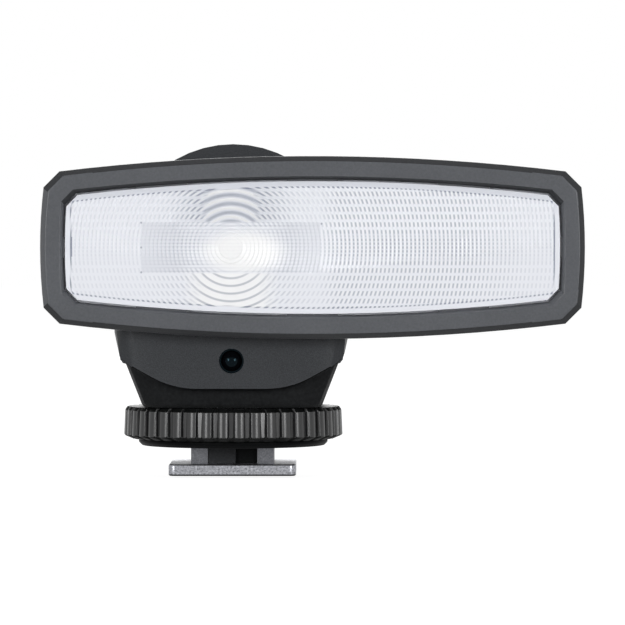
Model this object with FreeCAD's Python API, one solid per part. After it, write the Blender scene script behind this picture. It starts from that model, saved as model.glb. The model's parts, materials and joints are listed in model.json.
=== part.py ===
import FreeCAD, Part
import math
import os

# Compact camera flash with a shoe foot and a ribbed locking ring. Sizes are in millimetres.
# X points right in the photograph, the front faces -Y and Z is up.
# The origin is the centre of the underside of the shoe foot.

V = FreeCAD.Vector
AXIS_X = V(1, 0, 0)
AXIS_Y = V(0, 1, 0)
AXIS_Z = V(0, 0, 1)

# Fits: every clearance in the model is one of these
SNUG = 0.05
SLIDE_FIT = 0.15
SEAM = 0.12
LOOSE = 0.25

# How far a cutting shape runs past the face that it opens
OVER = 1.0
FAR = 60.0

# Flats that stand for a round: each corner, the pod's half circle, a disc, a hole, a screw, a cup
CORNER_STEPS = 3
ARCH_STEPS = 24
DISC_SIDES = 60
HOLE_SIDES = 24
SCREW_SIDES = 12
CUP_STEPS = 8

# Head: a shallow barrel shaped box, wider than the neck and shifted to the right
HEAD_X = 11.7
HEAD_Z = 33.25
HEAD_HALF_W = 39.0
HEAD_HALF_H = 13.1
HEAD_RISE = 2.18
HEAD_BULGE = 0.5
HEAD_CUT = 2.3
HEAD_WALL = 1.5
HEAD_ROOM_STOP = 0.5
BEZEL_FRONT = -20.0
BEZEL_DEPTH = 5.0
BEZEL_BEVEL = 0.75
BEZEL_BEVEL_DEPTH = 1.0
BEZEL_SIDE = 3.7
BEZEL_TOP = 3.75
CASE_STEP = 0.3
CASE_TAPER = 0.6
CASE_DEPTH = 14.4
CASE_OPENING_RISE = 8.0
REAR_CHAMFER = 2.6

# Window in the bezel
WINDOW_RISE = 1.9
WINDOW_BULGE = 0.2
WINDOW_CUT = 1.6
WINDOW_BEVEL = 0.8
LEDGE_STEP = 0.15
LEDGE_L = 7.2
LEDGE_PITCH = 21.4
SIDE_LEDGE_L = 2.8
RECESS_STEP = 1.35
RECESS_DEPTH = 2.6

# Lens and what stands behind it
LENS_SINK = 0.9
LENS_FLANGE = 1.1
LENS_FLANGE_T = 1.2
PRISM_COUNT = 17
PRISM_DEPTH = 0.35
PRISM_FLANK = 0.9
PRISM_MARGIN = 1.0
TRAY_WALL = 1.0
TRAY_STEP = 0.7
TRAY_DEPTH = 6.0
REFLECTOR_HALF_W = 13.2
REFLECTOR_HALF_H = 3.7
REFLECTOR_T = 0.4
REFLECTOR_RIM = 1.4
REFLECTOR_CUP_R = 1.9
REFLECTOR_DEPTH = 4.4
TUBE_R = 1.3
TUBE_END_PROUD = 0.6
CAP_HALF = 2.0
CAP_L = 2.25

# Neck and pod: one column below and behind the head
POD_R = 17.0
POD_TOP = 48.6
POD_REAR = 13.0
POD_FRONT = -0.5
POD_EDGE_R = 2.5
POD_WALL = 1.6
NECK_FRONT = -14.6
NECK_SPLIT = -2.0
NECK_WALL = 1.2
NECK_CORNER_R = 3.0
FLARE_TOP_Z = 21.0
FLARE_SLOPE = 0.237
FLARE_LOW_Z = 10.0
SMILE_Z = 12.7
SMILE_FLAT = 5.0
SMILE_R = 13.6
SMILE_ANGLE = 29.0
SMILE_END_X = 14.9
SMILE_CORNER_R = 1.3
SMILE_SPREAD = 2.0
ROOM_RISE = 3.0

# Lower neck that carries the foot
BASE_Z = 10.5
BASE_HALF_W = 13.18
BASE_FRONT = -12.34
BASE_REAR = 12.0
BASE_CORNER_R = 4.0
BASE_FLARE = 0.386
BASE_FLARE_FRONT = 0.2
BASE_FLARE_REAR = 0.05
BASE_TOP_Z = 19.0
BASE_FLOOR = 1.6
BASE_WALL = 1.0
TONGUE_RISE = 1.3

# Shoe foot, to the usual accessory shoe
FOOT_W = 18.6
FOOT_D = 18.0
FOOT_T = 1.7
FOOT_CORNER_R = 1.0
STEM_HALF_W = 6.07
STEM_HALF_D = 6.3
UPRIGHT_T = 2.45
BRACKET_HALF_W = 9.0
BRACKET_HALF_D = 5.0
BRACKET_T = 1.0
CORE_STEP_X = 0.46
CORE_SINK = 0.8
INSULATOR_R = 4.5
PIN_R = 1.25
PIN_HEAD_R = 1.9
PIN_HEAD_T = 1.0
PIN_PROUD = 0.35
SPRING_L = 3.9
SPRING_WIRE_R = 0.16
SPRING_TURNS = 4
SPRING_SIDES = 12

# Locking ring, its thread and the plate that it presses on the shoe
THREAD_R = 10.0
SLEEVE_LOW = 6.2
SLEEVE_FLANGE_R = 11.6
SLEEVE_FLANGE_SIDES = 8
SLEEVE_FLANGE_T = 1.2
RING_TIP_R = 16.15
RING_ROOT_R = 15.5
RING_RIBS = 42
RIB_TIP_DEG = 1.6
RIB_FOOT_DEG = 7.0
RING_TOP = 9.95
RING_RIB_TOP = 9.45
RING_TOP_R = 15.0
RING_RIB_LOW = 5.75
RING_LOW = 5.2
RING_LOW_R = 14.25
PLATE_LOW = 4.2
PLATE_T = 0.95
PLATE_R = 13.95
PLATE_EDGE = 0.5

# Light sensor in the front of the neck
SENSOR_Z = 16.9
SENSOR_R = 1.8
SENSOR_SINK = 0.3
SENSOR_FLANGE_HALF = 2.4
SENSOR_FLANGE_T = 0.6
SENSOR_CELL_HALF = 1.35
HOLDER_HALF = 2.7
HOLDER_DEPTH = 2.8

# Controls on the back
DIAL_Z = 31.6
DIAL_R = 10.0
DIAL_H = 4.6
DIAL_FLUTES = 20
DIAL_FLUTE = 0.5
DIAL_LAND = 0.55
DIAL_BEVEL = 0.7
DIAL_SINK = 1.6
DIAL_RIM = 2.6
RIDGE_HALF_W = 1.6
SPINDLE_R = 3.0
SPINDLE_END = 1.6
SPINDLE_GAP = 0.6
ROTARY_HALF = 6.2
BOARD_FRONT = -4.2
BOARD_T = 1.0
BOARD_LEFT_GAP = 2.3
BOARD_RIGHT_GAP = 1.3
BOARD_HALF_H = 4.9
SLIDER_TO_BUTTON = 10.0
SLIDER_L = 8.0
SLIDER_H = 4.6
SLIDER_T = 0.6
SLIDER_TRAVEL = 3.2
SLIDER_STEM_L = 1.4
SLIDER_STEM_H = 1.6
SLIDER_STEM_REACH = 1.6
SLIDER_RIBS = 4
SLIDER_RIB_PITCH = 1.4
SLIDER_RIB_T = 0.7
SLIDER_RIB_H = 1.0
SLIDER_RIB_MARGIN = 0.5
SWITCH_SIDE = 1.4
SWITCH_HALF_H = 2.2
BUTTON_INSET = 12.7
BUTTON_Z = 33.25
BUTTON_R = 3.0
BUTTON_PROUD = 0.9
BUTTON_TRAVEL = 0.6
BUTTON_LIP = 0.6
BUTTON_LIP_T = 0.85
TEST_SWITCH_HALF = 2.6
LAMP_Z = 39.0
LAMP_R = 1.0
LAMP_PROUD = 0.3
USB_HALF_L = 4.47
USB_HALF_T = 1.63
USB_WALL = 0.3
USB_DEPTH = 5.5
USB_END_WALL = 1.0
USB_TONGUE_HALF_T = 0.35
USB_TONGUE_HALF_L = 3.3
SYNC_Y = -3.4
SYNC_BORE_R = 1.25
SYNC_DEPTH = 10.0
SYNC_BODY_R = 2.3
SYNC_END_WALL = 0.6
SYNC_PROUD = 0.48

# Screws
SCREW_R = 0.75
SCREW_HEAD_R = 1.8
SCREW_HEAD_T = 1.1
SCREW_SINK = 0.1
SCREW_BITE = 4.0
SCREW_TIP_GAP = 0.5
BOSS_R = 1.7
FOOT_SCREW_HEAD_R = 1.5
FOOT_SCREW_HEAD_T = 0.8
FOOT_SCREW_BITE = 3.0
HEAD_SCREW_INSET = 8.4
HEAD_SCREW_DROP = 5.7
POD_SCREW_X = 11.6
POD_SCREW_Z = 18.4

# Inner parts
CAPACITOR_R = 5.0
CAPACITOR_HALF_L = 9.3
CAPACITOR_Z = 19.9
BATTERY_HALF_W = 9.4
BATTERY_T = 8.4
BATTERY_H = 5.6
BATTERY_EDGE_R = 1.2
TRANSFORMER_TO_SLIDER = 3.5
TRANSFORMER_HALF_W = 4.5
TRANSFORMER_HALF_H = 4.0
TRANSFORMER_T = 4.8
WINDING_HALF_W = 2.1
WINDING_HALF_H = 3.4
WINDING_PROUD = 0.2
COIL_TO_BUTTON = 3.0
COIL_R = 2.2
COIL_HALF_L = 4.0
COIL_FOOT_HALF_W = 2.0

# Worked out from the driving sizes
BEZEL_BACK = BEZEL_FRONT + BEZEL_DEPTH
CASE_SHOULDER = BEZEL_BACK + CASE_DEPTH
CASE_BACK = CASE_SHOULDER + REAR_CHAMFER
CASE_INSIDE = CASE_BACK - HEAD_WALL
HEAD_OUTLINE = (HEAD_HALF_W, HEAD_HALF_H, HEAD_RISE, HEAD_BULGE, HEAD_CUT)
CASE_OUTLINE = (HEAD_HALF_W - HEAD_BULGE, HEAD_HALF_H, HEAD_RISE, 0.0, HEAD_CUT)
CASE_HALF_W = HEAD_HALF_W - HEAD_BULGE - CASE_STEP
WINDOW_OUTLINE = (
    HEAD_HALF_W - BEZEL_SIDE,
    HEAD_HALF_H - BEZEL_TOP,
    WINDOW_RISE,
    WINDOW_BULGE,
    WINDOW_CUT,
)
RECESS_FRONT = BEZEL_BACK - RECESS_DEPTH
LENS_FRONT = BEZEL_FRONT + LENS_SINK
LENS_BACK = RECESS_FRONT + SNUG + LENS_FLANGE_T
TRAY_FRONT = LENS_BACK + SNUG
TRAY_BACK = TRAY_FRONT + TRAY_DEPTH
REFLECTOR_FRONT = TRAY_BACK + SNUG
TUBE_Y = REFLECTOR_FRONT + REFLECTOR_DEPTH - REFLECTOR_CUP_R
CAP_START = REFLECTOR_HALF_W + REFLECTOR_T + SLIDE_FIT
CAP_END = CAP_START + CAP_L
TUBE_HALF_L = CAP_END + TUBE_END_PROUD
BASE_INSIDE = BASE_Z + BASE_FLOOR
POD_INSIDE = POD_REAR - POD_WALL
POD_Z = POD_TOP - POD_R
BUTTON_X = HEAD_X + HEAD_HALF_W - BUTTON_INSET
SLIDER_X = BUTTON_X - SLIDER_TO_BUTTON
TRANSFORMER_X = SLIDER_X - TRANSFORMER_TO_SLIDER
COIL_X = BUTTON_X - COIL_TO_BUTTON
HEAD_SCREW_X = HEAD_HALF_W - HEAD_SCREW_INSET
BOARD_BACK = BOARD_FRONT + BOARD_T
USB_MOUTH = HEAD_X + CASE_HALF_W - CASE_TAPER
SYNC_MOUTH = HEAD_X - CASE_HALF_W + CASE_TAPER - SYNC_PROUD
SYNC_END = SYNC_MOUTH + SYNC_DEPTH + SYNC_END_WALL
BOARD_LEFT = SYNC_END + BOARD_LEFT_GAP
BOARD_RIGHT = USB_MOUTH - HEAD_WALL - BOARD_RIGHT_GAP
USB_Y = BOARD_FRONT - USB_HALF_T - SNUG
PLATE_TOP = PLATE_LOW + PLATE_T
SLEEVE_TOP = BASE_INSIDE + SLEEVE_FLANGE_T
STEM_TOP = SLEEVE_TOP + 2 * SNUG
PIN_SEAT = FOOT_T + 2 * SNUG
PIN_TOP = PIN_SEAT + PIN_HEAD_T
POCKET_TOP = PIN_TOP + SPRING_L
BRACKET_Z = STEM_TOP + SNUG
BRACKET_TOP = BRACKET_Z + BRACKET_T
BUTTON_LIP_BACK = CASE_INSIDE - SNUG - BUTTON_LIP_T
DIAL_BACK = POD_REAR + LOOSE
CAPACITOR_Y = POD_INSIDE - SLIDE_FIT - CAPACITOR_R
WINDOW_BACK = NECK_FRONT + NECK_WALL + SNUG + SENSOR_FLANGE_T
HOLDER_BACK = WINDOW_BACK + SNUG + HOLDER_DEPTH


def box(x0, x1, y0, y1, z0, z1):
    """Block between two corners."""
    return Part.makeBox(x1 - x0, y1 - y0, z1 - z0, V(x0, y0, z0))


def rod_x(r, x0, x1, y, z):
    """Cylinder along X."""
    return Part.makeCylinder(r, x1 - x0, V(x0, y, z), AXIS_X)


def rod_y(r, x, z, y0, y1):
    """Cylinder along Y."""
    return Part.makeCylinder(r, y1 - y0, V(x, y0, z), AXIS_Y)


def rod_z(r, z0, z1, x=0.0, y=0.0):
    """Cylinder along Z."""
    return Part.makeCylinder(r, z1 - z0, V(x, y, z0), AXIS_Z)


def fuse(first, *others):
    """One solid from several, with the seams between coplanar faces removed."""
    return first.fuse(list(others)).removeSplitter()


def closed(points):
    """Wire through a list of corner points and back to the first."""
    return Part.makePolygon(points + [points[0]])


def polygon_prism(points, along):
    """Solid from a list of corner points, swept along a vector."""
    return Part.Face(closed(points)).extrude(along)


def skinned(outlines):
    """Solid through outlines with equal numbers of corners, with flat faces between them."""
    faces = [Part.Face(closed(outlines[0])), Part.Face(closed(outlines[-1]))]
    count = len(outlines[0])
    for low, high in zip(outlines, outlines[1:]):
        for i in range(count):
            j = (i + 1) % count
            faces.append(Part.Face(closed([low[i], low[j], high[j], high[i]])))
    return Part.Solid(Part.Shell(faces))


def flats(r, sides):
    """Corners of a regular polygon as pairs of offsets from its centre."""
    turns = [2 * math.pi * (i + 0.5) / sides for i in range(sides)]
    return [(r * math.cos(a), r * math.sin(a)) for a in turns]


def peg_y(r, x, z, y0, y1, sides=SCREW_SIDES):
    """Post along Y in flats, for screws, their bosses and their holes."""
    corners = [V(x + u, y0, z + v) for u, v in flats(r, sides)]
    return polygon_prism(corners, V(0, y1 - y0, 0))


def peg_x(r, x0, x1, y, z):
    """Post along X in flats, for round holes and small rounds inside the case."""
    corners = [V(x0, y + u, z + v) for u, v in flats(r, HOLE_SIDES)]
    return polygon_prism(corners, V(x1 - x0, 0, 0))


def peg_z(r, z0, z1, x=0.0, sides=SCREW_SIDES):
    """Post along Z in flats."""
    corners = [V(x + u, v, z0) for u, v in flats(r, sides)]
    return polygon_prism(corners, V(0, 0, z1 - z0))


def around(r):
    """Corner radius of a hole in flats that a round of radius r just passes through."""
    return r / math.cos(math.pi / HOLE_SIDES)


def bow(start, middle, end):
    """Arc through three points, or a line where the middle one isn't out of line."""
    if middle.x == start.x or middle.z == start.z:
        return Part.makeLine(start, end)
    return Part.Arc(start, middle, end).toShape()


def barrel_wire(y, outline, inset=0.0):
    """Outline across the head at depth y: four shallow arcs joined by four corner cuts."""
    half_w, half_h, rise, bulge, cut = outline
    half_w -= inset
    half_h -= inset
    cut *= 1 - inset / HEAD_HALF_H
    side_x = half_w - bulge
    top_z = half_h - rise
    top_x = side_x - cut
    side_z = top_z - cut

    def at(x, z):
        return V(HEAD_X + x, y, HEAD_Z + z)

    edges = [
        bow(at(-top_x, top_z), at(0, half_h), at(top_x, top_z)),
        Part.makeLine(at(top_x, top_z), at(side_x, side_z)),
        bow(at(side_x, side_z), at(half_w, 0), at(side_x, -side_z)),
        Part.makeLine(at(side_x, -side_z), at(top_x, -top_z)),
        bow(at(top_x, -top_z), at(0, -half_h), at(-top_x, -top_z)),
        Part.makeLine(at(-top_x, -top_z), at(-side_x, -side_z)),
        bow(at(-side_x, -side_z), at(-half_w, 0), at(-side_x, side_z)),
        Part.makeLine(at(-side_x, side_z), at(-top_x, top_z)),
    ]
    return Part.Wire(edges)


def barrel_loft(outline, stations):
    """Solid through barrel outlines at (depth, inset) stations, front to back."""
    return Part.makeLoft([barrel_wire(y, outline, i) for y, i in stations], True, True)


def barrel_slab(outline, inset, y0, y1):
    """Straight slab with a barrel outline between two depths."""
    return Part.Face(barrel_wire(y0, outline, inset)).extrude(V(0, y1 - y0, 0))


def column_outline(z, half_w, front, rear, front_r, rear_r):
    """Corner points of a rectangle at height z, each of its round corners in short flats."""
    points = []
    for sx, y, sy, r, turn in (
        (1, front, 1, front_r, 0),
        (1, rear, -1, rear_r, 1),
        (-1, rear, -1, rear_r, 0),
        (-1, front, 1, front_r, 1),
    ):
        corner = []
        for i in range(CORNER_STEPS + 1):
            a = math.pi / 2 * i / CORNER_STEPS
            x = sx * (half_w - r * (1 - math.sin(a)))
            corner.append(V(x, y + sy * r * (1 - math.cos(a)), z))
        points += reversed(corner) if turn else corner
    return points


def column():
    """The neck's outer column: it widens up to the pod and then runs straight up."""
    low_half = POD_R - FLARE_SLOPE * (FLARE_TOP_Z - FLARE_LOW_Z)
    stations = ((FLARE_LOW_Z, low_half), (FLARE_TOP_Z, POD_R), (POD_Z, POD_R))
    outlines = [
        column_outline(z, half_w, NECK_FRONT, POD_REAR, NECK_CORNER_R, POD_EDGE_R)
        for z, half_w in stations
    ]
    return skinned(outlines)


def column_inside(gap, top):
    """Straight walled room inside the column, or a smaller one that stands clear of it."""
    seam_in = FLARE_SLOPE * (FLARE_TOP_Z - SMILE_Z - ROOM_RISE)
    corner_r = NECK_CORNER_R - NECK_WALL - gap
    points = column_outline(
        FLARE_LOW_Z,
        POD_R - seam_in - NECK_WALL - gap,
        NECK_FRONT + NECK_WALL + gap,
        POD_INSIDE - gap,
        corner_r,
        corner_r,
    )
    return polygon_prism(points, V(0, 0, top - FLARE_LOW_Z))


def smile_points():
    """Half of the curved seam under the neck covers: end of the flat, arc and straight rise."""
    angle = math.radians(SMILE_ANGLE)
    arc_mid = V(
        SMILE_FLAT + SMILE_R * math.sin(angle / 2),
        0,
        SMILE_Z + SMILE_R * (1 - math.cos(angle / 2)),
    )
    arc_end = V(
        SMILE_FLAT + SMILE_R * math.sin(angle),
        0,
        SMILE_Z + SMILE_R * (1 - math.cos(angle)),
    )
    rise = (SMILE_END_X - arc_end.x) * math.tan(angle)
    line_end = V(SMILE_END_X, 0, arc_end.z + rise)
    turn = math.pi / 2 - angle
    centre = line_end + V(-math.sin(angle), 0, math.cos(angle)) * SMILE_CORNER_R
    side_mid = centre + V(math.cos(turn / 2), 0, -math.sin(turn / 2)) * SMILE_CORNER_R
    side_end = centre + V(SMILE_CORNER_R, 0, 0)
    return V(SMILE_FLAT, 0, SMILE_Z), arc_mid, arc_end, line_end, side_mid, side_end


def above_smile(drop):
    """Everything above the seam curve, with the curve moved down by drop."""
    flat, arc_mid, arc_end, line_end, side_mid, side_end = smile_points()
    wide = V(POD_R + SMILE_SPREAD, 0, FLARE_TOP_Z)
    tall = V(wide.x, 0, FAR)

    def right(p):
        return V(p.x, -FAR, p.z - drop)

    def left(p):
        return V(-p.x, -FAR, p.z - drop)

    edges = [
        Part.makeLine(left(flat), right(flat)),
        Part.Arc(right(flat), right(arc_mid), right(arc_end)).toShape(),
        Part.makeLine(right(arc_end), right(line_end)),
        Part.Arc(right(line_end), right(side_mid), right(side_end)).toShape(),
        Part.makeLine(right(side_end), right(wide)),
        Part.makeLine(right(wide), right(tall)),
        Part.makeLine(right(tall), left(tall)),
        Part.makeLine(left(tall), left(wide)),
        Part.makeLine(left(wide), left(side_end)),
        Part.Arc(left(side_end), left(side_mid), left(line_end)).toShape(),
        Part.makeLine(left(line_end), left(arc_end)),
        Part.Arc(left(arc_end), left(arc_mid), left(flat)).toShape(),
    ]
    return Part.Face(Part.Wire(edges)).extrude(V(0, 2 * FAR, 0))


def head_solid(grow):
    """Filled shape of the case behind the bezel, grown by a clearance."""
    stations = [
        (BEZEL_BACK - grow, CASE_STEP - grow),
        (CASE_SHOULDER, CASE_STEP + CASE_TAPER - grow),
        (CASE_BACK + grow, CASE_STEP + CASE_TAPER + REAR_CHAMFER - grow),
    ]
    return barrel_loft(CASE_OUTLINE, stations)


def head_screw_places():
    """Centres of the two screws low in the back of the head."""
    z = HEAD_Z - HEAD_SCREW_DROP
    return [(HEAD_X - HEAD_SCREW_X, z), (HEAD_X + HEAD_SCREW_X, z)]


def pod_screw_places():
    """Centres of the two screws low in the back of the pod."""
    return [(-POD_SCREW_X, POD_SCREW_Z), (POD_SCREW_X, POD_SCREW_Z)]


def stadium_x(x0, x1, y, z, half_t, half_l):
    """Slot shaped bar along X, long in Z, with round ends."""
    middle = box(x0, x1, y - half_t, y + half_t, z - half_l + half_t, z + half_l - half_t)
    low = rod_x(half_t, x0, x1, y, z - half_l + half_t)
    high = rod_x(half_t, x0, x1, y, z + half_l - half_t)
    return fuse(middle, low, high)


def front_bezel():
    """Bevelled frame round the lens, with small ledges that locate the lens in its window."""
    outer = barrel_loft(
        HEAD_OUTLINE,
        [
            (BEZEL_FRONT, BEZEL_BEVEL),
            (BEZEL_FRONT + BEZEL_BEVEL_DEPTH, 0.0),
            (BEZEL_BACK, 0.0),
        ],
    )
    window = barrel_loft(
        WINDOW_OUTLINE,
        [
            (BEZEL_FRONT - BEZEL_BEVEL_DEPTH, -2 * WINDOW_BEVEL),
            (BEZEL_FRONT + BEZEL_BEVEL_DEPTH, 0.0),
            (BEZEL_BACK + OVER, 0.0),
        ],
    )
    recess = barrel_slab(WINDOW_OUTLINE, -RECESS_STEP, RECESS_FRONT, BEZEL_BACK + OVER)
    frame = outer.cut(window).cut(recess)
    band = barrel_slab(
        WINDOW_OUTLINE, -LEDGE_STEP, BEZEL_FRONT + BEZEL_BEVEL_DEPTH, RECESS_FRONT
    )
    band = band.cut(barrel_slab(WINDOW_OUTLINE, LEDGE_STEP, BEZEL_FRONT, BEZEL_BACK))
    half = LEDGE_L / 2
    places = [
        box(HEAD_X + x - half, HEAD_X + x + half, -FAR, FAR, -FAR, FAR)
        for x in (-LEDGE_PITCH, 0.0, LEDGE_PITCH)
    ]
    side = SIDE_LEDGE_L / 2
    places.append(box(-FAR, 2 * FAR, -FAR, FAR, HEAD_Z - side, HEAD_Z + side))
    ledges = [band.common(place) for place in places]
    return fuse(frame, *ledges)


def front_lens():
    """Clear plate with a plateau in the window, a flange behind it and prisms on its back."""
    plateau = barrel_slab(WINDOW_OUTLINE, LOOSE, LENS_FRONT, LENS_BACK)
    flange = barrel_slab(WINDOW_OUTLINE, -LENS_FLANGE, RECESS_FRONT + SNUG, LENS_BACK)
    plate = fuse(plateau, flange)
    half_h = HEAD_HALF_H - BEZEL_TOP
    pitch = 2 * half_h / PRISM_COUNT
    low = HEAD_Z - half_h
    teeth = [V(-FAR, LENS_BACK + PRISM_DEPTH, low)]
    teeth.append(V(-FAR, LENS_BACK, low))
    for i in range(PRISM_COUNT):
        z = low + i * pitch
        teeth.append(V(-FAR, LENS_BACK - PRISM_DEPTH, z + pitch * PRISM_FLANK))
        teeth.append(V(-FAR, LENS_BACK, z + pitch))
    teeth.append(V(-FAR, LENS_BACK + PRISM_DEPTH, low + 2 * half_h))
    comb = polygon_prism(teeth, V(3 * FAR, 0, 0))
    field = barrel_slab(WINDOW_OUTLINE, PRISM_MARGIN, LENS_BACK - OVER, LENS_BACK + OVER)
    return plate.cut(comb.common(field))


def light_tray():
    """White tray behind the lens, with the mouth of the reflector and two long screw bosses."""
    outer = barrel_slab(WINDOW_OUTLINE, -TRAY_STEP, TRAY_FRONT, TRAY_BACK)
    inner = barrel_slab(
        WINDOW_OUTLINE, TRAY_WALL - TRAY_STEP, TRAY_FRONT - OVER, TRAY_BACK - TRAY_WALL
    )
    mouth = box(
        -REFLECTOR_HALF_W,
        REFLECTOR_HALF_W,
        TRAY_FRONT,
        TRAY_BACK + OVER,
        HEAD_Z - REFLECTOR_HALF_H,
        HEAD_Z + REFLECTOR_HALF_H,
    )
    tray = outer.cut(inner).cut(mouth)
    boss_end = CASE_INSIDE - SNUG
    bosses = [peg_y(BOSS_R, x, z, TRAY_BACK, boss_end) for x, z in head_screw_places()]
    tray = fuse(tray, *bosses)
    for x, z in head_screw_places():
        bore = peg_y(SCREW_R + SNUG, x, z, TRAY_BACK + SCREW_TIP_GAP, boss_end + OVER)
        tray = tray.cut(bore)
    return tray


def trough(grow, half_w):
    """Section of the reflector's trough, a cup with flared sides, run from end to end."""
    r = REFLECTOR_CUP_R + grow
    mouth = REFLECTOR_HALF_H + grow
    points = [V(-half_w, REFLECTOR_FRONT, HEAD_Z - mouth)]
    for i in range(CUP_STEPS + 1):
        a = math.pi * i / CUP_STEPS
        points.append(V(-half_w, TUBE_Y + r * math.sin(a), HEAD_Z - r * math.cos(a)))
    points.append(V(-half_w, REFLECTOR_FRONT, HEAD_Z + mouth))
    return polygon_prism(points, V(2 * half_w, 0, 0))


def reflector():
    """Thin metal trough round the tube, with a rim, flared sides and closed ends."""
    t = REFLECTOR_T
    w = REFLECTOR_HALF_W
    h = REFLECTOR_HALF_H
    y0 = REFLECTOR_FRONT
    shell = trough(t, w + t)
    reach = REFLECTOR_RIM
    rim = box(-w - reach, w + reach, y0, y0 + t, HEAD_Z - h - reach, HEAD_Z + h + reach)
    mouth = box(-w, w, y0 - OVER, y0, HEAD_Z - h, HEAD_Z + h)
    holes = peg_x(around(TUBE_R + SLIDE_FIT), -FAR, FAR, TUBE_Y, HEAD_Z)
    return fuse(shell, rim).cut(fuse(trough(0.0, w), mouth)).cut(holes)


def flash_tube():
    """Glass flash tube along the bottom of the reflector's trough."""
    return rod_x(TUBE_R, -TUBE_HALF_L, TUBE_HALF_L, TUBE_Y, HEAD_Z)


def tube_end_caps():
    """Two square rubber blocks that hold the tube at the ends of the reflector."""
    h = CAP_HALF
    bore = peg_x(around(TUBE_R + SNUG), -FAR, FAR, TUBE_Y, HEAD_Z)
    caps = []
    for x0, x1 in ((-CAP_END, -CAP_START), (CAP_START, CAP_END)):
        cap = box(x0, x1, TUBE_Y - h, TUBE_Y + h, HEAD_Z - h, HEAD_Z + h)
        caps.append(cap.cut(bore))
    return Part.makeCompound(caps)


def control_openings():
    """Cutters for the slider, the test button, the lamp and the two end sockets."""
    travel = SLIDER_TRAVEL / 2
    pocket_l = SLIDER_L / 2 + travel + SLIDE_FIT
    pocket_h = SLIDER_H / 2 + SLIDE_FIT
    pocket_y = CASE_BACK - SLIDER_T - SLIDE_FIT
    slot_l = SLIDER_STEM_L / 2 + travel + SLIDE_FIT
    slot_h = SLIDER_STEM_H / 2 + SLIDE_FIT
    wall = CASE_INSIDE - OVER
    x = SLIDER_X
    z = HEAD_Z
    usb_t = USB_HALF_T + SLIDE_FIT
    usb_l = USB_HALF_L + SLIDE_FIT
    return [
        box(x - pocket_l, x + pocket_l, pocket_y, FAR, z - pocket_h, z + pocket_h),
        box(x - slot_l, x + slot_l, wall, FAR, z - slot_h, z + slot_h),
        peg_y(BUTTON_R + SLIDE_FIT, BUTTON_X, BUTTON_Z, wall, FAR, HOLE_SIDES),
        peg_y(LAMP_R + SNUG, BUTTON_X, LAMP_Z, wall, FAR),
        stadium_x(HEAD_X, FAR, USB_Y, HEAD_Z, usb_t, usb_l),
        peg_x(around(SYNC_BODY_R + SLIDE_FIT), -FAR, HEAD_X, SYNC_Y, HEAD_Z),
    ]


def head_case():
    """Tapered shell behind the bezel, chamfered to its back, with openings for the controls."""
    outer = head_solid(0.0)
    wide = CASE_STEP + CASE_TAPER + HEAD_WALL
    shoulder = CASE_SHOULDER - HEAD_ROOM_STOP
    room = barrel_slab(CASE_OUTLINE, wide, BEZEL_BACK - OVER, shoulder)
    end = barrel_slab(CASE_OUTLINE, wide + REAR_CHAMFER / 2, BEZEL_BACK, CASE_INSIDE)
    cutters = [room, end]
    sink = CASE_BACK - SCREW_HEAD_T - SLIDE_FIT
    for x, z in head_screw_places():
        cutters.append(peg_y(SCREW_R + SLIDE_FIT, x, z, CASE_INSIDE - OVER, FAR))
        cutters.append(peg_y(SCREW_HEAD_R + SLIDE_FIT, x, z, sink, FAR))
    w = POD_R - POD_WALL - OVER
    high = HEAD_Z + CASE_OPENING_RISE
    cutters.append(box(-w, w, CASE_SHOULDER, FAR, BASE_Z, high))
    front = NECK_FRONT + NECK_WALL + OVER
    cutters.append(box(-w, w, front, CASE_SHOULDER, BASE_Z, FLARE_TOP_Z))
    case = outer
    for cutter in cutters + control_openings():
        case = case.cut(cutter)
    return case


def neck_front_cover():
    """Front cover of the neck with its curved lower edge, sensor hole and two screw bosses."""
    back = NECK_SPLIT - SEAM / 2
    front = box(-FAR, FAR, -FAR, back, -FAR, FAR)
    shell = column().common(above_smile(0.0)).common(front).cut(column_inside(0.0, FAR))
    foot = NECK_FRONT + NECK_WALL / 2
    bosses = [peg_y(BOSS_R, x, z, foot, back) for x, z in pod_screw_places()]
    shell = fuse(shell, *bosses).cut(head_solid(SNUG))
    for x, z in pod_screw_places():
        shell = shell.cut(peg_y(SCREW_R + SNUG, x, z, NECK_FRONT + SCREW_BITE, FAR))
    hole = rod_y(SENSOR_R, 0, SENSOR_Z, NECK_FRONT - OVER, NECK_FRONT + NECK_WALL + OVER)
    return shell.cut(hole)


def rear_cover():
    """Rear cover of neck and pod: an arched dome behind the head with a round dial seat."""
    front = NECK_SPLIT + SEAM / 2
    side = box(-FAR, FAR, front, FAR, 0.0, FLARE_TOP_Z)
    lower = column().common(above_smile(0.0)).common(side)
    outer = fuse(lower, arch_solid(POD_R, POD_FRONT, POD_REAR, POD_EDGE_R))
    inner_arch = arch_solid(POD_R - POD_WALL, POD_FRONT + POD_WALL, POD_INSIDE, 0.0)
    shell = outer.cut(inner_arch).cut(column_inside(0.0, FLARE_TOP_Z + SNUG))
    root = POD_INSIDE + SNUG
    bosses = [peg_y(BOSS_R, x, z, front, root) for x, z in pod_screw_places()]
    shell = fuse(shell, *bosses).cut(head_solid(SNUG))
    sink = POD_REAR - SCREW_HEAD_T - SLIDE_FIT
    for x, z in pod_screw_places():
        shell = shell.cut(peg_y(SCREW_R + SLIDE_FIT, x, z, NECK_SPLIT - OVER, FAR))
        shell = shell.cut(peg_y(SCREW_HEAD_R + SLIDE_FIT, x, z, sink, FAR))
    seat = peg_y(around(SPINDLE_R + SNUG), 0, DIAL_Z, POD_INSIDE - OVER, FAR, HOLE_SIDES)
    return shell.cut(seat)


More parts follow.
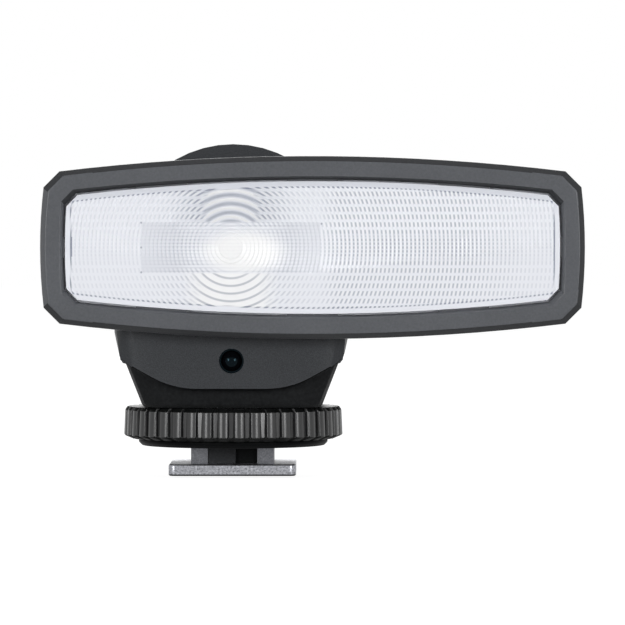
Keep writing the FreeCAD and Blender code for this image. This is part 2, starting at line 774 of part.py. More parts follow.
def arch_outline(y, r):
    """Outline of the upper pod at depth y: straight sides under a half circle in flats."""
    points = [V(r, y, FLARE_TOP_Z)]
    for i in range(ARCH_STEPS + 1):
        a = math.pi * i / ARCH_STEPS
        points.append(V(r * math.cos(a), y, POD_Z + r * math.sin(a)))
    points.append(V(-r, y, FLARE_TOP_Z))
    return points


def arch_solid(r, y0, y1, edge_r):
    """Upper pod, with its rear edge rounded in short flats."""
    outlines = [arch_outline(y0, r)]
    steps = CORNER_STEPS if edge_r else 0
    for i in range(steps + 1):
        a = math.pi / 2 * i / CORNER_STEPS
        y = y1 - edge_r * (1 - math.sin(a))
        outlines.append(arch_outline(y, r - edge_r * (1 - math.cos(a))))
    return skinned(outlines)


def base_outline(z):
    """Outline of the tapered lower neck at height z."""
    rise = z - BASE_Z
    return column_outline(
        z,
        BASE_HALF_W + BASE_FLARE * rise,
        BASE_FRONT - BASE_FLARE_FRONT * rise,
        BASE_REAR + BASE_FLARE_REAR * rise,
        BASE_CORNER_R,
        BASE_CORNER_R,
    )


def neck_base():
    """Tapered lower neck with a floor for the foot and a tongue inside the two covers."""
    whole = skinned([base_outline(BASE_Z), base_outline(BASE_TOP_Z)])
    skin = whole.cut(above_smile(SEAM))
    tongue = whole.cut(above_smile(-TONGUE_RISE)).common(column_inside(SLIDE_FIT, FAR))
    room = column_outline(
        BASE_INSIDE,
        BASE_HALF_W - BASE_WALL,
        BASE_FRONT + BASE_WALL / 2,
        BASE_REAR - BASE_WALL / 2,
        BASE_CORNER_R - BASE_WALL,
        BASE_CORNER_R - BASE_WALL,
    )
    shell = fuse(skin, tongue).cut(polygon_prism(room, V(0, 0, FAR)))
    neck = around(THREAD_R + SNUG)
    return shell.cut(peg_z(neck, BASE_Z - OVER, BASE_INSIDE + OVER, 0.0, HOLE_SIDES))


def threaded_sleeve():
    """Fixed sleeve that the locking ring turns on, with an eight sided flange in the neck."""
    tube = rod_z(THREAD_R, SLEEVE_LOW, SLEEVE_TOP)
    flange = peg_z(SLEEVE_FLANGE_R, BASE_INSIDE, SLEEVE_TOP, 0.0, SLEEVE_FLANGE_SIDES)
    return fuse(tube, flange).cut(stem_hole())


def stem_hole():
    """Cutter for the rectangular hole that the stem of the foot passes through."""
    w = STEM_HALF_W + SLIDE_FIT
    d = STEM_HALF_D + SLIDE_FIT
    return box(-w, w, -d, d, 0.0, FAR)


def shoe_foot():
    """Metal foot plate with two upright flanges that run up through the ring."""
    w = FOOT_W / 2
    d = FOOT_D / 2
    plate = box(-w, w, -d, d, 0.0, FOOT_T)
    corners = [e for e in plate.Edges if e.BoundBox.ZLength > FOOT_T / 2]
    plate = plate.makeFillet(FOOT_CORNER_R, corners)
    inner = STEM_HALF_W - UPRIGHT_T
    uprights = [
        box(x0, x1, -STEM_HALF_D, STEM_HALF_D, 0.0, STEM_TOP)
        for x0, x1 in ((-STEM_HALF_W, -inner), (inner, STEM_HALF_W))
    ]
    foot = fuse(plate, *uprights)
    foot = foot.cut(peg_z(INSULATOR_R + SNUG, -OVER, FOOT_T + SNUG / 2, 0.0, HOLE_SIDES))
    low = STEM_TOP - FOOT_SCREW_BITE - SCREW_TIP_GAP
    for x in foot_screw_places():
        foot = foot.cut(peg_z(SCREW_R + SNUG, low, FAR, x))
    return foot


def foot_screw_places():
    """X of the two screws in the tops of the uprights."""
    x = STEM_HALF_W - UPRIGHT_T / 2
    return [-x, x]


def foot_core():
    """Black plastic between the uprights: its right half stands back, and it guides the pin."""
    w = STEM_HALF_W - UPRIGHT_T - SNUG
    d = STEM_HALF_D - SNUG
    low = FOOT_T + SNUG
    block = box(-w, w, -d, d, low, STEM_TOP)
    block = block.cut(box(CORE_STEP_X, w + OVER, -FAR, CORE_SINK - d, 0.0, FAR))
    return block.cut(rod_z(PIN_HEAD_R + SNUG, low - OVER, POCKET_TOP))


def contact_insulator():
    """Plastic disc in the foot plate round the centre contact."""
    disc = peg_z(INSULATOR_R, 0.0, FOOT_T, 0.0, HOLE_SIDES)
    return disc.cut(rod_z(PIN_R + SNUG, -OVER, FOOT_T + OVER))


def contact_pin():
    """Centre contact: a headed pin that can be pushed up against its spring."""
    tip = rod_z(PIN_R, -PIN_PROUD, PIN_TOP)
    return fuse(tip, peg_z(PIN_HEAD_R, PIN_SEAT, PIN_TOP, 0.0, HOLE_SIDES))


def contact_spring():
    """Coil spring between the head of the pin and the top of its pocket."""
    w = SPRING_WIRE_R
    low = PIN_TOP + w
    high = POCKET_TOP - w
    r = PIN_HEAD_R - 2 * w
    steps = SPRING_TURNS * SPRING_SIDES
    points = []
    for i in range(steps + 1):
        a = 2 * math.pi * i / SPRING_SIDES
        z = low + (high - low) * i / steps
        points.append(V(r * math.cos(a), r * math.sin(a), z))
    section = [V(r + w, 0, low), V(r, 0, low + w), V(r - w, 0, low), V(r, 0, low - w)]
    return Part.makePolygon(points).makePipeShell([closed(section)], True, False, 1)


def foot_bracket():
    """Plate inside the neck that clamps the foot against the sleeve."""
    w = BRACKET_HALF_W
    d = BRACKET_HALF_D
    plate = box(-w, w, -d, d, BRACKET_Z, BRACKET_TOP)
    for x in foot_screw_places():
        plate = plate.cut(peg_z(SCREW_R + SLIDE_FIT, 0.0, FAR, x))
    return plate


def foot_screws():
    """Two screws through the bracket into the uprights."""
    z = BRACKET_TOP + SNUG
    screws = []
    for x in foot_screw_places():
        head = peg_z(FOOT_SCREW_HEAD_R, z, z + FOOT_SCREW_HEAD_T, x)
        shaft = peg_z(SCREW_R, STEM_TOP - FOOT_SCREW_BITE, z, x)
        screws.append(fuse(head, shaft))
    return Part.makeCompound(screws)


def star_outline(z, shrink):
    """Outline of the ribbed ring at height z: narrow raised ribs with sloped flanks."""
    points = []
    for i in range(RING_RIBS):
        middle = 360.0 / RING_RIBS * i
        for radius, degrees in (
            (RING_ROOT_R, middle - RIB_FOOT_DEG / 2),
            (RING_TIP_R, middle - RIB_TIP_DEG / 2),
            (RING_TIP_R, middle + RIB_TIP_DEG / 2),
            (RING_ROOT_R, middle + RIB_FOOT_DEG / 2),
        ):
            a = math.radians(degrees)
            r = radius * shrink
            points.append(V(r * math.cos(a), r * math.sin(a), z))
    return points


def lock_ring():
    """Ribbed ring that turns on the threaded sleeve; its ribs run out on bevels at both ends."""
    stations = (
        (RING_LOW, RING_LOW_R / RING_ROOT_R),
        (RING_RIB_LOW, 1.0),
        (RING_RIB_TOP, 1.0),
        (RING_TOP, RING_TOP_R / RING_ROOT_R),
    )
    ring = skinned([star_outline(z, shrink) for z, shrink in stations])
    return ring.cut(rod_z(THREAD_R + SLIDE_FIT, 0.0, FAR))


def pressure_plate():
    """Round plate under the ring, keyed to the stem so that it slides and can't turn."""
    stations = (
        (PLATE_LOW, PLATE_R - PLATE_EDGE),
        (PLATE_LOW + PLATE_EDGE, PLATE_R),
        (PLATE_TOP, PLATE_R),
    )
    outlines = [[V(u, v, z) for u, v in flats(r, DISC_SIDES)] for z, r in stations]
    return skinned(outlines).cut(stem_hole())


def sensor_block(half, y0, y1):
    """Square block behind the sensor hole."""
    return box(-half, half, y0, y1, SENSOR_Z - half, SENSOR_Z + half)


def sensor_window():
    """Dark clear window in the hole of the front cover, with a square flange behind it."""
    back = NECK_FRONT + NECK_WALL + SNUG
    plug = rod_y(SENSOR_R - SNUG, 0, SENSOR_Z, NECK_FRONT + SENSOR_SINK, WINDOW_BACK)
    return fuse(plug, sensor_block(SENSOR_FLANGE_HALF, back, WINDOW_BACK))


def sensor_holder():
    """Frame that holds the window and the light sensor inside the front cover."""
    frame = sensor_block(HOLDER_HALF, WINDOW_BACK + SNUG, HOLDER_BACK)
    return frame.cut(sensor_block(SENSOR_CELL_HALF + SNUG, WINDOW_BACK, FAR))


def light_sensor():
    """Light sensor inside the holder, facing forwards."""
    return sensor_block(SENSOR_CELL_HALF, WINDOW_BACK + SLIDE_FIT, HOLDER_BACK)


def dial_outline(y, shrink):
    """Outline of the dial at depth y: a circle with shallow flutes for the fingers."""
    points = []
    dip = (1 + DIAL_LAND) / 2
    for i in range(DIAL_FLUTES):
        for radius, part in ((DIAL_R, 0.0), (DIAL_R, DIAL_LAND), (DIAL_R - DIAL_FLUTE, dip)):
            a = 2 * math.pi * (i + part) / DIAL_FLUTES
            r = radius * shrink
            points.append(V(r * math.cos(a), y, DIAL_Z + r * math.sin(a)))
    return points


def power_dial():
    """Turning dial with a fluted rim, a sunk face, a finger ridge and its spindle."""
    y0 = DIAL_BACK
    y1 = y0 + DIAL_H
    bevel = 1 - DIAL_BEVEL / DIAL_R
    stations = ((y0, 1.0), (y1 - DIAL_BEVEL, 1.0), (y1, bevel))
    grip = skinned([dial_outline(y, shrink) for y, shrink in stations])
    face_r = DIAL_R - DIAL_RIM
    sink = peg_y(face_r, 0, DIAL_Z, y1 - DIAL_SINK, y1 + OVER, HOLE_SIDES)
    w = RIDGE_HALF_W
    ridge_l = face_r - DIAL_FLUTE / 2
    ridge = box(-w, w, y1 - DIAL_SINK - OVER, y1, DIAL_Z - ridge_l, DIAL_Z + ridge_l)
    spindle = rod_y(SPINDLE_R, 0, DIAL_Z, SPINDLE_END, y0 + OVER)
    return fuse(grip.cut(sink), ridge, spindle)


def rotary_switch_body():
    """Square switch on the circuit board that the dial's spindle turns in."""
    h = ROTARY_HALF
    back = POD_INSIDE - SLIDE_FIT
    body = box(-h, h, BOARD_BACK, back, DIAL_Z - h, DIAL_Z + h)
    low = SPINDLE_END - SPINDLE_GAP
    return body.cut(peg_y(around(SPINDLE_R + SNUG), 0, DIAL_Z, low, FAR, HOLE_SIDES))


def power_slider():
    """Sliding switch cap in its pocket, drawn in the OFF place."""
    x = SLIDER_X - SLIDER_TRAVEL / 2
    back = CASE_BACK
    half_l = SLIDER_L / 2
    half_h = SLIDER_H / 2
    parts = [box(x - half_l, x + half_l, back - SLIDER_T, back, HEAD_Z - half_h, HEAD_Z + half_h)]
    half_t = SLIDER_RIB_T / 2
    rib_h = half_h - SLIDER_RIB_MARGIN
    for i in range(SLIDER_RIBS):
        rx = x + SLIDER_RIB_PITCH * (i - (SLIDER_RIBS - 1) / 2)
        rib_back = back + SLIDER_RIB_H
        parts.append(
            box(rx - half_t, rx + half_t, back - SNUG, rib_back, HEAD_Z - rib_h, HEAD_Z + rib_h)
        )
    stem_l = SLIDER_STEM_L / 2
    stem_h = SLIDER_STEM_H / 2
    low = CASE_INSIDE - SLIDER_STEM_REACH
    parts.append(box(x - stem_l, x + stem_l, low, back - SNUG, HEAD_Z - stem_h, HEAD_Z + stem_h))
    return fuse(*parts)


def slide_switch_body():
    """Switch on the board with a slot for the slider's stem."""
    x = SLIDER_X
    half_l = SLIDER_STEM_L / 2 + SLIDER_TRAVEL / 2 + SLIDE_FIT
    half_h = SLIDER_STEM_H / 2 + SLIDE_FIT
    side = half_l + SWITCH_SIDE
    high = CASE_INSIDE - SNUG
    h = SWITCH_HALF_H
    body = box(x - side, x + side, BOARD_BACK, high, HEAD_Z - h, HEAD_Z + h)
    low = CASE_INSIDE - SLIDER_STEM_REACH - SLIDE_FIT
    return body.cut(box(x - half_l, x + half_l, low, FAR, HEAD_Z - half_h, HEAD_Z + half_h))


def test_button():
    """Round push button with a lip behind the case wall."""
    low = BUTTON_LIP_BACK
    cap = peg_y(BUTTON_R, BUTTON_X, BUTTON_Z, low, CASE_BACK + BUTTON_PROUD, HOLE_SIDES)
    lip = peg_y(BUTTON_R + BUTTON_LIP, BUTTON_X, BUTTON_Z, low, CASE_INSIDE - SNUG)
    return fuse(cap, lip)


def test_switch():
    """Push switch on the board under the button."""
    h = TEST_SWITCH_HALF
    top = BUTTON_LIP_BACK - BUTTON_TRAVEL - 2 * SNUG
    return box(BUTTON_X - h, BUTTON_X + h, BOARD_BACK, top, BUTTON_Z - h, BUTTON_Z + h)


def ready_lamp():
    """Small lamp beside the test button, on the board."""
    return peg_y(LAMP_R, BUTTON_X, LAMP_Z, BOARD_BACK, CASE_BACK + LAMP_PROUD)


def usb_port():
    """Charging socket at the right end: a flattened metal tube with a tongue inside."""
    mouth = USB_MOUTH
    x0 = mouth - USB_DEPTH
    inside = x0 + USB_END_WALL
    half_t = USB_HALF_T - USB_WALL
    half_l = USB_HALF_L - USB_WALL
    tube = stadium_x(x0, mouth, USB_Y, HEAD_Z, USB_HALF_T, USB_HALF_L)
    hollow = stadium_x(inside, FAR, USB_Y, HEAD_Z, half_t, half_l)
    t = USB_TONGUE_HALF_T
    h = USB_TONGUE_HALF_L
    tip = mouth - USB_END_WALL
    tongue = box(inside - SNUG, tip, USB_Y - t, USB_Y + t, HEAD_Z - h, HEAD_Z + h)
    return fuse(tube.cut(hollow), tongue)


def sync_socket():
    """Round socket at the left end for a trigger lead."""
    body = peg_x(SYNC_BODY_R, SYNC_MOUTH, SYNC_END, SYNC_Y, HEAD_Z)
    bore_end = SYNC_END - SYNC_END_WALL
    return body.cut(rod_x(SYNC_BORE_R, SYNC_MOUTH - OVER, bore_end, SYNC_Y, HEAD_Z))


def main_board():
    """Circuit board across the head, notched round the screw boss at its right end."""
    low = HEAD_Z - BOARD_HALF_H
    high = HEAD_Z + BOARD_HALF_H
    board = box(BOARD_LEFT, BOARD_RIGHT, BOARD_FRONT, BOARD_BACK, low, high)
    for x, z in head_screw_places():
        board = board.cut(peg_y(BOSS_R + LOOSE, x, z, BOARD_FRONT - OVER, BOARD_BACK + OVER))
    return board


def transformer():
    """Charging transformer on the front of the board: a core with a winding."""
    x = TRANSFORMER_X
    y = BOARD_FRONT
    low = y - TRANSFORMER_T
    w = TRANSFORMER_HALF_W
    h = TRANSFORMER_HALF_H
    core = box(x - w, x + w, low, y, HEAD_Z - h, HEAD_Z + h)
    w = WINDING_HALF_W
    h = WINDING_HALF_H
    winding = box(x - w, x + w, low - WINDING_PROUD, y, HEAD_Z - h, HEAD_Z + h)
    return fuse(core, winding)


def trigger_coil():
    """Trigger coil on the front of the board."""
    y = BOARD_FRONT - COIL_R
    low = HEAD_Z - COIL_HALF_L
    high = HEAD_Z + COIL_HALF_L
    w = COIL_FOOT_HALF_W
    foot = box(COIL_X - w, COIL_X + w, y, BOARD_FRONT, low, high)
    return fuse(rod_z(COIL_R, low, high, COIL_X, y), foot)


def main_capacitor():
    """Storage capacitor lying in the back of the neck."""
    end = CAPACITOR_HALF_L
    return peg_x(CAPACITOR_R, -end, end, CAPACITOR_Y, CAPACITOR_Z)


def battery_cell():
    """Flat rechargeable cell in the front of the neck, above the foot bracket."""
    z = BRACKET_TOP + SNUG + FOOT_SCREW_HEAD_T + SNUG
    y = HOLDER_BACK + SLIDE_FIT
    w = BATTERY_HALF_W
    cell = box(-w, w, y, y + BATTERY_T, z, z + BATTERY_H)
    long_edges = [e for e in cell.Edges if e.BoundBox.XLength > w]
    return cell.makeFillet(BATTERY_EDGE_R, long_edges)


def case_screws():
    """Four screws let into the back: two in the head and two low in the pod."""
    head_tip = TRAY_BACK + 2 * SCREW_TIP_GAP
    pod_tip = NECK_FRONT + SCREW_BITE + SCREW_TIP_GAP
    runs = [(x, z, CASE_BACK, head_tip) for x, z in head_screw_places()]
    runs += [(x, z, POD_REAR, pod_tip) for x, z in pod_screw_places()]
    screws = []
    for x, z, back, tip in runs:
        seat = back - SCREW_HEAD_T
        head = peg_y(SCREW_HEAD_R, x, z, seat, back - SCREW_SINK)
        screws.append(fuse(head, peg_y(SCREW_R, x, z, tip, seat)))
    return Part.makeCompound(screws)


NODES = {
    "front_bezel": front_bezel,
    "front_lens": front_lens,
    "light_tray": light_tray,
    "reflector": reflector,
    "flash_tube": flash_tube,
    "tube_end_caps": tube_end_caps,
    "head_case": head_case,
    "neck_front_cover": neck_front_cover,
    "rear_cover": rear_cover,
    "neck_base": neck_base,
    "threaded_sleeve": threaded_sleeve,
    "shoe_foot": shoe_foot,
    "foot_core": foot_core,
    "contact_insulator": contact_insulator,
    "contact_pin": contact_pin,
    "contact_spring": contact_spring,
    "foot_bracket": foot_bracket,
    "foot_screws": foot_screws,
    "lock_ring": lock_ring,
    "pressure_plate": pressure_plate,
    "sensor_window": sensor_window,
    "sensor_holder": sensor_holder,
    "light_sensor": light_sensor,
    "power_dial": power_dial,
    "rotary_switch_body": rotary_switch_body,
    "power_slider": power_slider,
    "slide_switch_body": slide_switch_body,
    "test_button": test_button,
    "test_switch": test_switch,
    "ready_lamp": ready_lamp,
    "usb_port": usb_port,
    "sync_socket": sync_socket,
    "main_board": main_board,
    "transformer": transformer,
    "trigger_coil": trigger_coil,
    "main_capacitor": main_capacitor,
    "battery_cell": battery_cell,
    "case_screws": case_screws,
}

os.makedirs("parts", exist_ok=True)
for name, make in NODES.items():
    make().exportStep("parts/" + name + ".step")
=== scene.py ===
import itertools
import json
import math

import bmesh
import bpy
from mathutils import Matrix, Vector


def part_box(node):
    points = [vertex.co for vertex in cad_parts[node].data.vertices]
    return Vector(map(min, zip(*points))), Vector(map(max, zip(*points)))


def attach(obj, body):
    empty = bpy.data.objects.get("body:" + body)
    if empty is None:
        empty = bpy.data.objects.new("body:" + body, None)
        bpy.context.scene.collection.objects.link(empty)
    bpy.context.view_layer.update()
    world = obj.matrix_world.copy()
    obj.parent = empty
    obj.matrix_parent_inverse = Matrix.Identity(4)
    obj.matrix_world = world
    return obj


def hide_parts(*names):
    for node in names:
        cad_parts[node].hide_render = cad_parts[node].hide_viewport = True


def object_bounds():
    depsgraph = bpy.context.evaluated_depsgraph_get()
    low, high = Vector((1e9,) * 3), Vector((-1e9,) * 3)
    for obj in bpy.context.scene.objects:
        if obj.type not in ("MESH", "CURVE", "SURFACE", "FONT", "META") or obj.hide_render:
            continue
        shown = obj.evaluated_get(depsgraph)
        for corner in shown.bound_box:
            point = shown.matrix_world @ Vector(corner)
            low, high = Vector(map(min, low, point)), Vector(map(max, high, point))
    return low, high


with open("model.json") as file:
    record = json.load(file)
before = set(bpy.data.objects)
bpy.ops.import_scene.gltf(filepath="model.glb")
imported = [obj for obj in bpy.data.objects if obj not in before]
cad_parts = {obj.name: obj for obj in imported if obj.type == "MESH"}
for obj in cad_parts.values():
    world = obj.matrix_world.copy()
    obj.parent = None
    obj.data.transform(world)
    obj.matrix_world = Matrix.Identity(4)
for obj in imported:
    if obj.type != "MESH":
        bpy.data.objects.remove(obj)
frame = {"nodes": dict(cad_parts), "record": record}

bl_info = {
    "name": "Camera flash",
    "version": (1, 1, 0),
    "blender": (4, 5, 0),
    "location": "3D View > Sidebar > Flash",
    "description": "Dresses the packed camera flash with rounded pieces, moulded surfaces and studio light",
    "category": "Object",
}

MM = 0.001
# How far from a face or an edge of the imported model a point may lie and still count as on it
TOUCH = 0.02 * MM
NODES = frame["nodes"]
BODY_OF = {node: body for body, nodes in frame["record"]["behaviour"]["bodies"].items() for node in nodes}
SLOT_OF = {row["node"]: row["material_slot"] for row in frame["record"]["subparts"]}
CAD_BOX = [list(corner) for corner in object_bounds()]

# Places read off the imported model, in metres
BEZEL_LOW, BEZEL_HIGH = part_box("front_bezel")
HEAD_MIDDLE = (BEZEL_LOW + BEZEL_HIGH) / 2
LENS_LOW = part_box("front_lens")[0]
TUBE_MIDDLE = sum(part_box("flash_tube"), Vector()) / 2
CASE_LOW, CASE_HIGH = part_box("head_case")
POD_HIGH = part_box("rear_cover")[1]
BASE_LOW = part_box("neck_base")[0]
DIAL_LOW, DIAL_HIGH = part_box("power_dial")
SLIDER_LOW, SLIDER_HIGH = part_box("power_slider")
BUTTON_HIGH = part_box("test_button")[1]
LAMP_LOW, LAMP_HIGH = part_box("ready_lamp")
SENSOR_LOW, SENSOR_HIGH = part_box("sensor_window")

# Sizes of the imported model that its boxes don't give, in millimetres
# Screws: places, heads, shafts, and how far their heads are sunk
HEAD_SCREW_X = 30.6
HEAD_SCREW_DROP = 5.7
POD_SCREW_X = 11.6
POD_SCREW_Z = 18.4
SCREW_HEAD_R = 1.8
SCREW_HEAD_T = 1.1
SCREW_SINK = 0.1
SCREW_R = 0.75
HEAD_SCREW_L = 10.2
POD_SCREW_L = 22.0
# Foot plate: its thickness, and where its outer edges begin
FOOT_T = 1.7
FOOT_EDGE_X = 8.1
FOOT_EDGE_Y = 7.8
# The core's right half is set back behind this line, and gets painted shade there
CORE_STEP_X = 0.47

# Window in the bezel and front of the lens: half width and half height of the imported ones, and
# how far the front of the lens stands before its flange
WINDOW_HALF_W = 35.15
WINDOW_HALF_H = 9.2
LENS_HALF_W = 34.4
LENS_HALF_H = 8.4
LENS_STEP = 1.6
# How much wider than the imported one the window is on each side, as in the photograph
WIDER = 0.38

# Bezel: where its outer edges and bevels begin from its middle, and the depth of the outer bevel
OUTER_EDGE_X = 36.6
OUTER_EDGE_Z = 10.3
OUTER_BEVEL_X = 37.2
OUTER_BEVEL_Z = 11.3
OUTER_BEVEL_H = 1.0
# Back of the head case: depth of its chamfer, half size of the flat inside it, bow of its long
# sides, and what is kept clear round a screw
REAR_CHAMFER = 2.7
REAR_HALF_W = 33.6
REAR_HALF_H = 9.1
REAR_BOW = 0.0018
SCREW_CLEAR_R = 2.1

# Grooved field of the lens: radius of its smooth middle, half width, half height in the middle,
# and how quickly its bowed edges fall away, per millimetre squared
GROOVE_START = 1.2
FIELD_HALF_W = 34.6
FIELD_HALF_H = 8.67
FIELD_BOW = 0.00176
FIELD_CORNER = 0.3
# Share of a groove that is steep, and how far behind the lens front the grooved plate ends
STEEP_SHARE = 0.3
GROOVE_BACK = 0.4

# Neck covers: half width where their lower corners begin, and how far these stand out between
# two heights. Where two of the stretches overlap, their shifts add up
CORNER_X = 15.25
CORNER_SHIFTS = ((0.0, 17.9, 0.42), (16.95, 17.5, 0.13), (17.9, 18.4, 0.08))
# Collar under the lower neck: its height and how much its outer edge is drawn in
COLLAR_H = 0.42
COLLAR_DRAFT = 0.975
# Further from the ring's axis than this, the lower neck and its collar have no bore
BASE_BORE_R = 10.8
COLLAR_BORE_R = 11.2
# Curved lower edge of the front cover: half length that is rounded, upper end, and top of the seam
EDGE_REACH = 14.6
EDGE_TOP = 17.3
SEAM_TOP = 17.6

# Locking ring: its ribs are lobes of this roundness and half width
RING_RIBS = 42
RIB_STEPS = 16
RING_TIP_R = 16.14
RING_ROOT_R = 15.5
RING_TOP_R = 15.0
RING_LOW_R = 14.25
RING_RIB_TOP = 9.45
RING_RIB_LOW = 5.75
RING_BORE_R = 10.15
RIB_ROUND = 1.6
RIB_HALF_W = 0.9
RIB_DRAFT = 0.99
# A circle between the bore and the ribs
RING_INSIDE = 11.0

# Sensor window: radius of its dome, and thickness of the flange behind it
DOME_R = 1.72
DOME_FLANGE_T = 0.6

# Cross recess of the screws: width, length and depth of a slot
RECESS_W = 0.42
RECESS_L = 2.1
RECESS_H = 0.6

# Ready lamp
LAMP_R = 0.96

# Numbers round the dial: their circle, and degrees from one to the next
NUMBER_R = 12.3
NUMBER_STEP = 45.0
# Words at the slider: their height, and how far they stand over its middle
WORD_H = 1.5
WORD_LIFT = 4.0
# Size of the type over the height of its numbers
LETTER_SCALE = 1.4
# White line on the dial's ridge: width, length, thickness and how far it stands from the axis
POINTER_W = 0.5
POINTER_L = 3.2
POINTER_H = 0.04
POINTER_Z = 4.9

# Camera: place in millimetres, and how far it looks down over its distance from the middle
CAMERA_X = 11.7
CAMERA_Y = -600.0
CAMERA_Z = 30.44
CAMERA_DROP = 6.7
# The photograph is 625 pixels wide and its perspective fits a focal length of 4060 of them
PHOTO_PX = 625
FOCAL_PX = 4060
FILM_W = 36.0


def linear(code):
    """sRGB hex code as a linear colour, which is what Blender's sockets hold."""
    parts = [int(code[i : i + 2], 16) / 255 for i in (0, 2, 4)]
    return tuple(p / 12.92 if p <= 0.04045 else ((p + 0.055) / 1.055) ** 2.4 for p in parts)


def length(name, description, default, low, high):
    """Length property in millimetres."""
    return bpy.props.FloatProperty(
        name=name, description=description, default=default, min=low, max=high, unit="NONE", precision=2
    )


def tint(name, description, code):
    """Colour property with its default as an sRGB hex code."""
    return bpy.props.FloatVectorProperty(
        name=name, description=description, default=linear(code), subtype="COLOR", size=3, min=0.0, max=1.0
    )


class FlashSizes(bpy.types.PropertyGroup):
    """Sizes in millimetres that shape the dressed pieces."""

    bezel_edge: length("Bezel edge", "Rounding between the bevels and the flat of the bezel", 0.13, 0.02, 0.3)
    case_edge: length("Case edge", "Rounding along the edges of the head and the covers", 0.2, 0.02, 0.5)
    ring_edge: length("Ring edge", "Rounding at both ends of the ribs of the locking ring", 0.14, 0.02, 0.21)
    metal_edge: length("Metal edge", "Rounding along the outer edges of the foot plate", 0.25, 0.02, 0.3)
    groove_pitch: length("Groove pitch", "Distance between two rings of the lens", 0.587, 0.3, 2.0)
    groove_depth: length("Groove depth", "Depth of the rings of the lens", 0.09, 0.02, 0.3)
    row_pitch: length("Row pitch", "Distance between two rows of prisms behind the lens", 1.095, 0.5, 3.0)
    grain: length("Grain", "Size of the grain in the moulded covers", 0.16, 0.05, 0.6)
    number_height: length("Number height", "Height of the printed numbers round the dial", 1.7, 1.0, 3.0)


class FlashColours(bpy.types.PropertyGroup):
    """Colours of the visible finishes."""

    bezel: tint("Bezel", "Satin plastic round the lens", "55575B")
    head: tint("Head", "Head case behind the bezel", "3A3C3F")
    cover: tint("Cover", "Grained neck covers and pod", "2F3134")
    base: tint("Lower neck", "Polished lower neck", "222324")
    ring: tint("Ring", "Glossy locking ring", "111213")
    plate: tint("Plate", "Painted pressure plate", "090A0B")
    foot: tint("Foot", "Blasted metal foot", "909196")
    core: tint("Core", "Plastic between the uprights", "303133")
    controls: tint("Controls", "Dial, slider and button", "1C1D1F")
    lens: tint("Lens", "Moulded acrylic of the lens", "F0F2F8")
    # Painted shade: colour of the dark sides of the strokes that the lens material paints
    strokes: tint("Strokes", "Dark side of the prisms in the lens", "8E94A4")
    marks: tint("Marks", "Printed numbers and words", "D9DADC")


def pick(*objects):
    """Selects these objects alone and makes the first one active."""
    bpy.ops.object.select_all(action="DESELECT")
    for one in objects:
        one.select_set(True)
    bpy.context.view_layer.objects.active = objects[0]


def add(tree, kind, sockets=None, **settings):
    """Adds one shader node with its settings, and links or fills the sockets that are named."""
    made = tree.nodes.new(kind)
    for name, value in settings.items():
        setattr(made, name, value)
    for key, value in (sockets or {}).items():
        if isinstance(value, bpy.types.Node):
            value = value.outputs[0]
        if isinstance(value, bpy.types.NodeSocket):
            tree.links.new(value, made.inputs[key])
        else:
            made.inputs[key].default_value = value
    return made


def new_material(name):
    """Empty node material and its tree."""
    material = bpy.data.materials.new(name)
    material.use_nodes = True
    material.node_tree.nodes.clear()
    return material, material.node_tree


def finish_material(tree, sockets):
    """Principled shader with these sockets, joined to the output."""
    shader = add(tree, "ShaderNodeBsdfPrincipled", sockets)
    add(tree, "ShaderNodeOutputMaterial", {"Surface": shader})


def off_head(point):
    """How far a point lies beside the middle of the head and over it, in millimetres."""
    return (point - HEAD_MIDDLE).xz / MM


def copy_node(node, name):
    """Merged copy of a CAD node with tidy triangles, ready to be shaped."""
    source = NODES[node]
    copy = bpy.data.objects.new(name, source.data.copy())
    bpy.context.scene.collection.objects.link(copy)
    pick(copy)
    bpy.ops.mesh.customdata_custom_splitnormals_clear()
    bpy.ops.object.mode_set(mode="EDIT")
    bpy.ops.mesh.select_all(action="SELECT")
    bpy.ops.mesh.remove_doubles(threshold=0.002 * MM)
    bpy.ops.mesh.dissolve_limited(angle_limit=math.radians(0.6))
    bpy.ops.mesh.quads_convert_to_tris(quad_method="BEAUTY", ngon_method="BEAUTY")
    bpy.ops.mesh.select_all(action="DESELECT")
    bpy.ops.object.mode_set(mode="OBJECT")
    return copy


def choose(piece, kind, where):
    """Selects the parts of a piece in edit mode, of kind VERT, EDGE or FACE, that where picks."""
    bpy.ops.mesh.select_mode(type=kind)
    bpy.ops.mesh.select_all(action="DESELECT")
    mesh = bmesh.from_edit_mesh(piece.data)
    for part in {"VERT": mesh.verts, "EDGE": mesh.edges, "FACE": mesh.faces}[kind]:
        if where(part):
            part.select_set(True)
    mesh.select_flush_mode()
    bmesh.update_edit_mesh(piece.data)


def round_edges(piece, width, segments, min_angle, where):
    """Rounds the edges of a piece that turn by more than min_angle and that where picks."""
    pick(piece)
    bpy.ops.object.mode_set(mode="EDIT")
    turn = math.radians(min_angle)
    choose(piece, "EDGE", lambda e: len(e.link_faces) == 2 and e.calc_face_angle(0.0) >= turn
           and where((e.verts[0].co + e.verts[1].co) / 2, e))
    # Sliding along the triangles of a flat face would throw spikes at the corners
    bpy.ops.mesh.bevel(
        offset=width * MM, segments=segments, profile=0.5, clamp_overlap=False, miter_outer="ARC",
        loop_slide=False,
    )
    bpy.ops.object.mode_set(mode="OBJECT")


def smooth(piece, angle=34.0, flat=True):
    """Smooth shading, with large flat faces kept flat where asked."""
    pick(piece)
    bpy.ops.object.shade_smooth_by_angle(angle=math.radians(angle))
    if flat:
        flatten = piece.modifiers.new("flat faces", "WEIGHTED_NORMAL")
        flatten.keep_sharp = True
        bpy.ops.object.modifier_apply(modifier=flatten.name)


def settle(piece):
    """Puts the place of a piece into its mesh, so that its object stands at the origin."""
    pick(piece)
    bpy.ops.object.transform_apply(location=True, rotation=True, scale=True)


